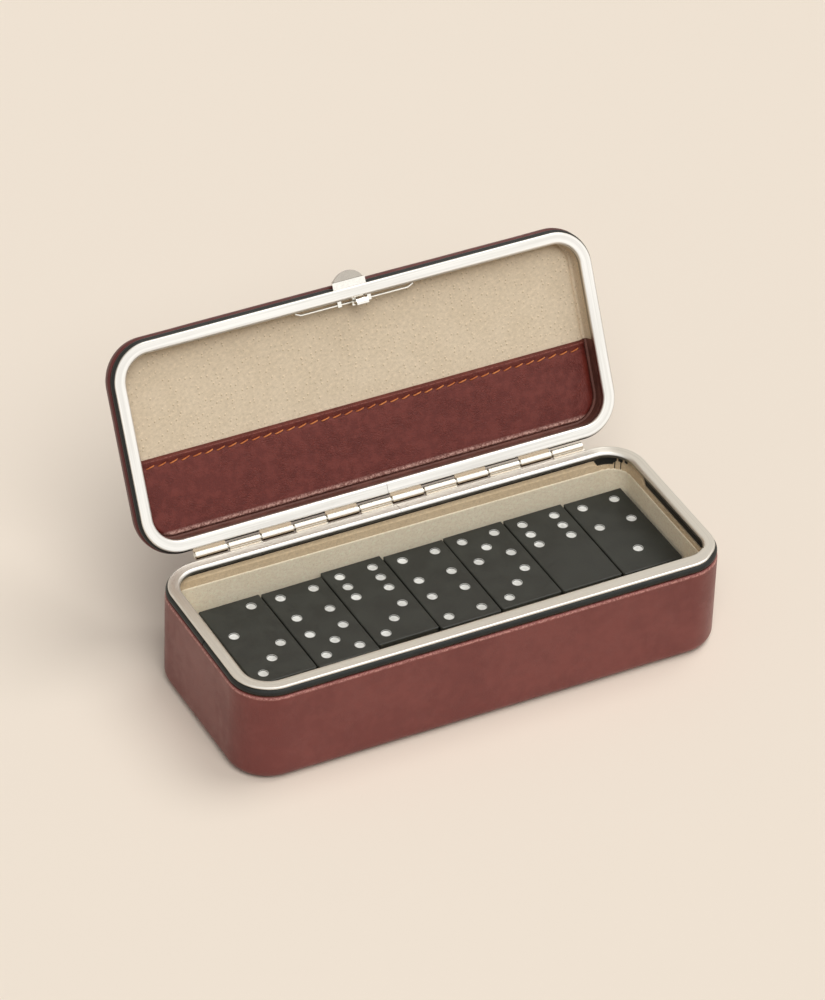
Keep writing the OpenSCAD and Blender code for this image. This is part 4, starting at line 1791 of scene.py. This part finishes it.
@dataclass
class LidLining(Section):
    """Suede panel, walls and stitched leather pocket inside the lid, drawn shut."""

    repeats: Repeats
    face: float = 6.4
    roof: float = 7.8
    panel_in: float = 4.0
    round_over: float = 2.2
    steep: float = 2.6
    pocket_y: float = 3.5
    pocket: float = 0.6
    hem: float = 0.35
    hem_width: float = 1.9
    edge_round: float = 0.5
    edge_left: float = 0.25
    seam_in: float = 2.4
    groove: float = 0.12
    groove_width: float = 0.45
    hole: float = 0.3
    hole_width: float = 0.3
    panel_wave: float = 0.06
    pocket_wave: float = 0.05
    glue: float = 0.15
    stitch_pitch: float = 3.75
    stitch: float = 2.75
    stitch_slant: float = math.radians(13)
    thread: float = 0.19
    thread_in: float = 0.02
    thread_waist: float = 0.45
    thread_dip: float = 0.42
    row_end: float = 1.2
    pocket_glue: float = 0.03

    def build(self) -> None:
        """Makes the linings, the pocket and its stitches."""
        self.suede()
        self.leather()
        self.stitches()

    @property
    def half(self) -> tuple[float, float, float]:
        """Half length, half width and corner radius of the panel."""
        case = self.case
        return (case.length / 2 - self.panel_in, case.width / 2 - self.panel_in,
                case.corner - self.panel_in)

    def steps(self) -> list[float]:
        """Distances from the edge at which the rounded zone has points."""
        return [self.round_over * (1 - math.cos(math.radians(a))) for a in range(0, 91, 10)]

    def drop(self, distance: np.ndarray) -> np.ndarray:
        """How far the panel's face falls back at a distance from its edge."""
        share = np.clip(1 - distance / self.round_over, 0, 1)
        return (self.roof - self.glue - self.face) * (1 - np.sqrt(1 - share**2))

    def suede(self) -> None:
        """Padded panel and the lining of the walls."""
        case = self.case
        flat = panel_grid(*self.half, columns=150, rows=60, steps=self.steps())
        fall = self.drop(edge_distance(flat, *self.half, self.steep))
        face = self.face + fall
        top = np.concatenate([flat, face[..., None]], axis=2)
        wave = ripple(top, size=21.0, seed=1.4).reshape(face.shape)
        top[..., 2] += self.panel_wave * wave * (fall < 0.01)
        bottom = top.copy()
        bottom[..., 2] = self.roof
        panel = sheet_between(top, bottom).moved(case.opened)
        obj = self.lay("lid_suede_panel", panel, Body.LID, Slot.LID_SUEDE, "lid_lining")
        course = Course.around(case.length, case.width, case.corner, step=2.0)
        mouth = case.half_gap + case.flange
        profile = [
            (case.wall_in, mouth), (case.lining_in - 0.2, mouth), (case.lining_in, mouth + 0.2),
            (case.lining_in, 4.5), (case.lining_in + 0.05, 6.5), (case.lining_in + 0.3, 7.3),
            (case.lining_in + 0.9, self.roof - 0.2), (self.panel_in + 0.2, self.roof - self.glue),
            (self.panel_in + 0.2, self.roof), (case.wall_in, self.roof)]
        walls = sweep(course, profile).moved(case.opened)
        self.lay("lid_wall_suede", walls, Body.LID, Slot.LID_SUEDE, "lid_lining")

    def leather(self) -> None:
        """Pocket over the hinge side of the panel, with a folded edge and a sewn groove."""
        case = self.case
        flat = panel_grid(*self.half, columns=380, rows=46, steps=self.steps(),
                          from_y=self.pocket_y)
        front = flat[..., 1] - self.pocket_y
        fall = self.drop(edge_distance(flat, *self.half, self.steep))
        rise = np.full(fall.shape, self.pocket)
        fold = np.clip(front / self.hem_width, 0, 1)
        rise += self.hem * (1 - fold**2) * (front < self.hem_width)
        edge = np.clip(1 - front / self.edge_round, 0, 1) ** 2
        rise -= (self.pocket + self.hem - self.edge_left) * edge
        rise -= self.groove * np.exp(-((front - self.seam_in) / self.groove_width) ** 2)
        for place in self.holes():
            away = ((flat - place) ** 2).sum(axis=-1)
            rise -= self.hole * np.exp(-away / self.hole_width**2)
        top = np.concatenate([flat, (self.face + fall - rise)[..., None]], axis=2)
        wave = ripple(top, size=15.0, seed=6.1).reshape(fall.shape)
        top[..., 2] += self.pocket_wave * wave
        bottom = top.copy()
        bottom[..., 2] = self.face + fall - self.pocket_glue
        sheet = sheet_between(top, bottom).moved(case.opened)
        self.lay("lid_pocket_leather", sheet, Body.LID, Slot.POCKET, "lid_pocket")
        course = Course.around(case.length, case.width, case.corner,
                               step=2.0).behind(self.pocket_y)
        mouth = case.half_gap + case.flange
        inner = case.lining_in + 0.02
        profile = [
            (inner, mouth), (inner + 0.2, mouth), (inner + 0.4, mouth + 0.2),
            (inner + 0.4, 4.5), (inner + 0.42, 6.2)]
        profile += arc((inner + 0.52, 6.9), (0.5, 0.5), -75, 40, 8)
        low = self.roof - self.glue
        profile += [(self.panel_in, 7.4), (self.panel_in + 0.1, self.roof - 0.35),
                    (self.panel_in + 0.1, low), (inner + 0.3, low), (inner, 7.0)]
        wall = sweep(course, profile).moved(case.opened)
        # the pocket's wall takes the lighter copy of the pocket leather, painted highlight and
        # painted reflection of the rim
        self.lay("lid_pocket_wall", wall, Body.LID, Slot.POCKET, "lid_pocket",
                 self.finishes.valley_painted_light)

    def row(self) -> tuple[int, float]:
        """Number of stitches and the X of the first one."""
        reach = self.half[0] - self.row_end
        count = int(2 * reach // self.stitch_pitch)
        return count, -self.stitch_pitch * (count - 1) / 2

    def holes(self) -> list[tuple[float, float]]:
        """Awl holes at both ends of every stitch."""
        count, start = self.row()
        reach_x = self.stitch / 2 * math.cos(self.stitch_slant)
        reach_y = -self.stitch / 2 * math.sin(self.stitch_slant)
        y = self.pocket_y + self.seam_in
        return [(start + i * self.stitch_pitch + side * reach_x, y + side * reach_y)
                for i in range(count) for side in (-1, 1)]

    def stitches(self) -> None:
        """Row of slanted stitches along the pocket's edge."""
        count, start = self.row()
        level = self.face - self.pocket + self.thread_in
        obj = self.repeats.run(
            "lid_pocket_stitches", self.repeats.row_tree, self.stitch_part(), np.zeros((1, 3)),
            self.finishes.thread,
            {"Count": count, "Start": (start * MM, (self.pocket_y + self.seam_in) * MM, level * MM),
             "Step": (self.stitch_pitch * MM, 0, 0), "Turn play": 0.05, "Seed": 7},
            self.case.opened)
        settle(obj, Body.LID.value, Slot.POCKET)

    def stitch_part(self) -> Skin:
        """One stitch: a short thread that rises out of one hole and dips into the next."""
        sides, rings = 8, 11
        points = []
        for share in np.linspace(-1, 1, rings):
            thick = self.thread * (1 - self.thread_waist * abs(share) ** 6)
            x = share * self.stitch / 2
            z = -0.2 + self.thread_dip * abs(share) ** 4
            for k in range(sides):
                angle = 2 * math.pi * k / sides
                points.append((x, thick * math.cos(angle) * 1.1, z + thick * math.sin(angle)))
        points = np.array(points)
        turn = -self.stitch_slant
        x, y = points[:, 0].copy(), points[:, 1].copy()
        points[:, 0] = x * math.cos(turn) - y * math.sin(turn)
        points[:, 1] = x * math.sin(turn) + y * math.cos(turn)
        return Skin(points, ring_faces(rings, sides) + end_faces(rings, sides))


# ---------- hinge


@dataclass
class RolledHinge(Section):
    """Two leaves with rolled knuckles that share a pin."""

    repeats: Repeats
    knuckles: int = 12
    gap: float = 0.42
    outer: float = 1.2
    bore: float = 0.62
    chamfer: float = 0.16
    overhang: float = 0.05
    tab_to: float = -0.75
    tab_chamfer: float = 0.06
    sides: int = 28
    base_tab: tuple[float, float] = (0.13, 0.8)
    lid_tab: tuple[float, float] = (0.42, 0.8)

    def build(self) -> None:
        """Makes both rows of knuckles and dresses the pin."""
        low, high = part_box("hinge_pin")
        length = (high.x - low.x) / MM + 2 * self.overhang
        self.dress("hinge_pin", Slot.WIRE)
        pitch = length / self.knuckles
        for first, body, node, levels, place, finish in (
            (1, Body.BASE, "base_hinge_leaf", self.base_tab, self.case.below,
             self.finishes.base_knuckle),
            (0, Body.LID, "lid_hinge_leaf", self.lid_tab, self.case.opened,
             self.finishes.lid_knuckle),
        ):
            start = -length / 2 + (first + 0.5) * pitch
            obj = self.repeats.run(
                f"{node}_knuckles", self.repeats.row_tree, self.knuckle(pitch - self.gap, levels),
                np.zeros((1, 3)), finish,
                {"Count": self.knuckles // 2, "Start": (start * MM, self.case.hinge_y * MM, 0),
                 "Step": (2 * pitch * MM, 0, 0), "Turn play": 0.0, "Seed": 1}, place)
            settle(obj, body.value, Slot.BRIGHT, [node])

    def knuckle(self, length: float, levels: tuple[float, float]) -> Skin:
        """One knuckle with its tab, about the pin. Height runs away from the parting plane.

        Args:
            length: Its length along X.
            levels: Heights of the tab's two faces.

        Returns:
            The skin.
        """
        half, c = length / 2, self.chamfer
        section = [(-half, self.bore), (-half, self.outer - c), (-half + c, self.outer),
                   (half - c, self.outer), (half, self.outer - c), (half, self.bore)]
        points = []
        for k in range(self.sides):
            angle = 2 * math.pi * k / self.sides
            points += [(x, r * math.cos(angle), r * math.sin(angle)) for x, r in section]
        faces = ring_faces(self.sides, len(section), loop=True)
        uvs = [(points[i][0], math.atan2(points[i][2], points[i][1])) for f in faces for i in f]
        roll = Skin(np.array(points), faces, uvs)
        edge = self.case.width / 2 - self.case.hinge_y
        tab = block((-half, half), (edge, self.tab_to), levels, self.tab_chamfer)
        return joined([roll, tab])


def block(x: tuple[float, float], y: tuple[float, float], z: tuple[float, float],
          bevel: float) -> Skin:
    """A block with chamfered edges along X.

    Args:
        x, y, z: Its two ends on each axis.
        bevel: Width of the chamfer.

    Returns:
        The closed skin.
    """
    section = [(y[0], z[0] + bevel), (y[0] + bevel, z[0]), (y[1] - bevel, z[0]),
               (y[1], z[0] + bevel), (y[1], z[1] - bevel), (y[1] - bevel, z[1]),
               (y[0] + bevel, z[1]), (y[0], z[1] - bevel)]
    points = np.array([(x[side], *point) for side in (0, 1) for point in section])
    faces = ring_faces(2, len(section)) + end_faces(2, len(section))
    uvs = [(points[i][0], points[i][1] + points[i][2]) for f in faces for i in f]
    return Skin(points, faces, uvs)


# ---------- clasp


@dataclass
class Clasp(Section):
    """Push button, its collar, the wire spring and the hook, drawn on the shut lid."""

    radius: float = 5.25
    collar: float = 2.2
    dome: float = 2.8
    x: float = -0.3
    flat: float = 0.3
    wall: float = 0.3
    play: float = 0.08
    soft: float = 0.5
    wire: float = 0.35
    wire_sides: int = 10
    wire_in: float = 1.15
    wire_height: float = 1.9
    wire_ends: tuple[float, float] = (-16.3, 18.3)
    wire_tip: float = 1.95
    wire_bend: float = math.radians(24)
    clips: tuple[float, float] = (-4.0, 5.6)
    pressed: tuple[float, float] = (0.1, 4.2)

    def build(self) -> None:
        """Makes the button and the spring, and dresses the rest."""
        self.button()
        self.spring()
        for node, slot in (("clasp_collar", Slot.BRIGHT), ("button_stem", Slot.WIRE),
                           ("latch_hook", Slot.BRIGHT), ("spring_clips", Slot.BRIGHT),
                           ("catch_plate", Slot.BRIGHT)):
            self.dress(node, slot)

    def outline(self, inset: float, steps: int = 40) -> np.ndarray:
        """Half-round outline with softened corners, flat side down.

        Args:
            inset: Distance in from the collar's outer edge.
            steps: Points along the round side.

        Returns:
            Points of X and height.
        """
        radius = self.radius - inset
        flat = self.flat + inset
        start = math.asin((flat + self.soft) / (radius - self.soft * 0.2))
        angles = np.linspace(start, math.pi - start, steps)
        curve = [(radius * math.cos(a), radius * math.sin(a)) for a in angles]
        corner = radius * math.cos(start)
        foot = [(-corner + 0.12, flat + 0.15), (-corner + 0.45, flat)]
        along = [(t, flat) for t in np.linspace(-corner + 0.9, corner - 0.9, 14)]
        return np.array([*curve, *foot, *along, *[(-a, b) for a, b in reversed(foot)]])

    def button(self) -> None:
        """Half of a lens-shaped dome, cut flat like the collar, on a short skirt."""
        case = self.case
        inset = self.wall + self.play
        front = -case.width / 2 - self.collar
        outline = self.outline(inset)
        reach = self.radius - inset
        ball = (reach**2 + self.dome**2) / (2 * self.dome)
        centre = np.array([0.0, outline[:, 1].min()])
        rings: list[np.ndarray] = []
        for share, lower in ((1.0, None), (1.0, 0.2), (0.993, 0.06), (0.975, 0.0),
                             *((s, 0.0) for s in np.linspace(0.93, 0.04, 14))):
            flat = centre + (outline - centre) * share
            away = np.minimum(np.hypot(flat[:, 0], flat[:, 1]), reach)
            rise = np.sqrt(ball**2 - away**2) - (ball - self.dome)
            level = np.full(len(flat), 0.4) if lower is None else -np.maximum(rise - lower, 0.02)
            rings.append(np.column_stack([flat[:, 0] + self.x, front + level, flat[:, 1]]))
        counts = len(rings), len(outline)
        faces = ring_faces(*counts) + end_faces(*counts)
        skin = Skin(np.vstack(rings), faces).moved(case.opened)
        self.lay("push_button_dome", skin, Body.CLASP, Slot.BRIGHT, "push_button",
                 self.finishes.dome)

    def spring(self) -> None:
        """Bent spring wire in two halves, which meet in the middle."""
        case = self.case
        y = -case.width / 2 + case.land + self.wire_in
        middle = sum(self.pressed) / 2
        for side, tip_x, clip, near in (("left", self.wire_ends[0], self.clips[0],
                                         self.pressed[0]),
                                        ("right", self.wire_ends[1], self.clips[1],
                                         self.pressed[1])):
            out = math.copysign(1, tip_x)
            tip = (tip_x + out * self.wire_tip * math.cos(self.wire_bend),
                   y - self.wire_tip * math.sin(self.wire_bend))
            knee = [(tip_x + out * 0.35, y - 0.16), (tip_x + out * 0.12, y - 0.03),
                    (tip_x - out * 0.3, y)]
            straight = [(x, y) for x in np.linspace(tip_x - out * 1.2, middle, 44)]
            route = np.array([(x, py, self.wire_height) for x, py in [tip, *knee, *straight]])
            skin = self.tube(route).moved(case.opened)
            obj = piece_from(f"clasp_spring_{side}", skin, self.finishes[Slot.WIRE])
            ends = case.opened(np.array([(clip, y, self.wire_height),
                                         (near, y, self.wire_height)])) * MM
            tuple(ends[0])
            tuple(ends[1])
            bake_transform(obj)
            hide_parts("clasp_spring")
            LOG.info("%s bends between the lid and the clasp", obj.name)

    def tube(self, route: np.ndarray) -> Skin:
        """Round wire along a route that stays at one height.

        Args:
            route: Points of X, Y and height.

        Returns:
            The closed skin.
        """
        sides = self.wire_sides
        ahead = np.gradient(route, axis=0)
        ahead /= np.linalg.norm(ahead, axis=1)[:, None]
        across = np.column_stack([-ahead[:, 1], ahead[:, 0], np.zeros(len(route))])
        points = [place + self.wire * (math.cos(a) * side + math.sin(a) * np.array([0, 0, 1.0]))
                  for place, side in zip(route, across)
                  for a in np.linspace(0, 2 * math.pi, sides, endpoint=False)]
        faces = ring_faces(len(route), sides) + end_faces(len(route), sides)
        return Skin(np.array(points), faces)


# ---------- dominoes


@dataclass
class DominoSet(Section):
    """Tiles of the frame, with a painted bowl in each pip.

    The dish lists shares of its own radius and heights below the tile's face.
    """

    repeats: Repeats
    layers: int = 3
    loose: int = 7
    pip: float = 1.545
    deep: float = 0.44
    sides: int = 24
    dish: tuple[Ends, ...] = ((1.0, -0.3), (0.96, -0.36), (0.86, -0.39), (0.6, -0.41), (0.2, -0.42))
    dish_share: float = 0.9
    line_width: float = 0.1
    above: float = 0.01

    def build(self) -> None:
        """Dresses the tiles and paints their pips."""
        names = [f"domino_layer_{i + 1}" for i in range(self.layers)]
        for name in names:
            self.dress(name, Slot.DOMINO)
            self.paint(name, Body.BASE.value)
        for i in range(self.loose):
            name = f"domino_{i + 1}"
            self.dress(name, Slot.DOMINO)
            self.paint(name, name)

    def paint(self, name: str, body: str) -> None:
        """Sets a painted bowl where each of a node's pips is.

        Args:
            name: The tile node.
            body: The body it rides on.
        """
        spots = self.spots(f"{name}_pips")
        obj = self.repeats.run(f"{name}_bowls", self.repeats.spot_tree, self.bowl(), spots,
                               self.finishes[Slot.PAINT], {"Turn play": 3.1, "Seed": 3},
                               lambda points: points)
        settle(obj, body, Slot.PAINT, [f"{name}_pips"])

    def spots(self, node: str) -> np.ndarray:
        """Centres of a node's pips, at the tiles' upper face.

        Args:
            node: A node of pips.

        Returns:
            Points in millimetres.
        """
        mesh = frame["nodes"][node].data
        low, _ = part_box(node)
        work = bmesh.new()
        work.from_mesh(mesh)
        bmesh.ops.remove_doubles(work, verts=work.verts, dist=1e-6)
        seen: set[bmesh.types.BMVert] = set()
        centres = []
        for vert in work.verts:
            if vert in seen:
                continue
            island, front = {vert}, [vert]
            while front:
                for edge in front.pop().link_edges:
                    for other in edge.verts:
                        if other not in island:
                            island.add(other)
                            front.append(other)
            seen |= island
            places = np.array([v.co for v in island])
            middle = (places.min(axis=0) + places.max(axis=0)) / 2
            centres.append((middle[0] / MM, middle[1] / MM, low.z / MM + self.deep + self.above))
        work.free()
        return np.array(sorted(centres))

    def bowl(self) -> Skin:
        """Painted pip: a dish at the bottom of its hole, and a thin pale ring round the top of the
        hole.
        """
        inner, sides = self.pip * self.dish_share, self.sides
        section = [(inner * share, height) for share, height in self.dish]
        line_in = self.pip - self.line_width
        line_section = [(self.pip, -0.08), (self.pip, -0.03), (line_in, -0.04), (line_in, -0.09)]
        points = []
        rings = [(inner, -self.deep), *section]
        for radius, height in [*rings, *line_section]:
            points += [(radius * math.cos(2 * math.pi * k / sides),
                        radius * math.sin(2 * math.pi * k / sides), height)
                       for k in range(sides)]
        faces = ring_faces(len(rings), sides) + end_faces(len(rings), sides)
        faces += ring_faces(len(line_section), sides, len(rings) * sides, loop=True)
        return Skin(np.array(points), faces)


# ---------- studio


@dataclass(frozen=True)
class SoftBox:
    """A broad lamp far away: where it stands and how strong and wide it is."""

    name: str
    azimuth: float
    elevation: float
    strength: float
    spread: float
    mirrored: bool = True

    def place(self) -> None:
        """Adds the lamp. Azimuths run from +X towards +Y, in degrees."""
        lamp = bpy.data.lights.new(self.name, "SUN")
        lamp.energy = self.strength
        lamp.angle = math.radians(self.spread)
        turn, rise = math.radians(self.azimuth), math.radians(self.elevation)
        towards = Vector((math.cos(turn) * math.cos(rise), math.sin(turn) * math.cos(rise),
                          math.sin(rise)))
        obj = bpy.data.objects.new(self.name, lamp)
        obj.rotation_euler = towards.to_track_quat("Z", "Y").to_euler()
        obj.visible_glossy = self.mirrored
        bpy.context.scene.collection.objects.link(obj)


@dataclass
class Studio:
    """Floor, lamps, world and camera."""

    floor_color: Color = srgb(240, 227, 211)
    floor_size: float = 6.0
    floor_cloud: float = 0.004
    floor_dark: float = 0.985
    fill: float = 0.2
    behind: Color = (0.82, 0.76, 0.67)
    front: Color = (1.47, 1.47, 1.46)
    boxes: tuple[SoftBox, ...] = (
        SoftBox("studio_right", 0, 65, 1.15, 38),
        SoftBox("studio_left", 255, 52, 1.85, 40, mirrored=False),
    )
    camera_at: tuple[float, float, float] = (-0.617857, -1.117976, 1.017547)
    azimuth: float = math.radians(-28.497)
    elevation: float = math.radians(36.977)
    roll: float = math.radians(2.187)
    focal: float = 201.7
    sensor: float = 36.0
    clip: Ends = (0.05, 20.0)

    def build(self) -> None:
        """Makes the studio."""
        self.floor()
        self.world()
        for box in self.boxes:
            box.place()
        self.camera()
        bpy.context.scene.view_settings.view_transform = "Standard"

    def floor(self) -> None:
        """Pale matt floor."""
        half = self.floor_size / 2
        mesh = bpy.data.meshes.new("studio_floor")
        mesh.from_pydata([(-half, -half, 0), (half, -half, 0), (half, half, 0), (-half, half, 0)],
                         [], [(0, 1, 2, 3)])
        surface = Surface("studio_floor", roughness=0.95, specular=0.1)
        surface.set("Base Color", surface.graph.mix(
            surface.graph.noise(surface.millimetres(self.floor_cloud), scale=1.0, detail=2.0),
            shade(self.floor_color, self.floor_dark), self.floor_color))
        mesh.materials.append(surface.material)
        obj = bpy.data.objects.new("studio_floor", mesh)
        bpy.context.scene.collection.objects.link(obj)

    def world(self) -> None:
        """Low even fill, and pale walls for reflections that are brighter in front."""
        world = bpy.data.worlds.new("studio")
        bpy.context.scene.world = world
        world.use_nodes = True
        graph = Graph(world.node_tree)
        direction = graph.add("ShaderNodeTexCoord").outputs["Generated"]
        front = graph.remap(graph.axis(direction, 1), (0.2, -0.5))
        walls = graph.mix(front, self.behind, self.front)
        mirrored = graph.add("ShaderNodeLightPath").outputs["Is Glossy Ray"]
        fill = (self.fill, self.fill, self.fill)
        shader = world.node_tree.nodes["Background"]
        world.node_tree.links.new(graph.mix(mirrored, fill, walls), shader.inputs["Color"])

    def camera(self) -> None:
        """Camera that looks down on the open box from its front left."""
        data = bpy.data.cameras.new("studio_camera")
        data.lens = self.focal
        data.sensor_width = self.sensor
        data.clip_start, data.clip_end = self.clip
        obj = bpy.data.objects.new("studio_camera", data)
        turn = (Matrix.Rotation(self.azimuth, 4, "Z")
                @ Matrix.Rotation(math.pi / 2 - self.elevation, 4, "X")
                @ Matrix.Rotation(self.roll, 4, "Z"))
        obj.matrix_world = Matrix.Translation(self.camera_at) @ turn
        bpy.context.scene.collection.objects.link(obj)
        bpy.context.scene.camera = obj


def main() -> None:
    """Builds the studio and every sub-assembly."""
    logging.basicConfig(level=logging.INFO, format="%(name)s: %(message)s")
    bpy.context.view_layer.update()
    case = Case.from_frame()
    finishes = Finishes(case)
    repeats = Repeats()
    Studio().build()
    Shells(case, finishes).build()
    Rims(case, finishes).build()
    TrayLining(case, finishes).build()
    LidLining(case, finishes, repeats).build()
    RolledHinge(case, finishes, repeats).build()
    Clasp(case, finishes).build()
    DominoSet(case, finishes, repeats).build()


if __name__ == "__main__":
    main()
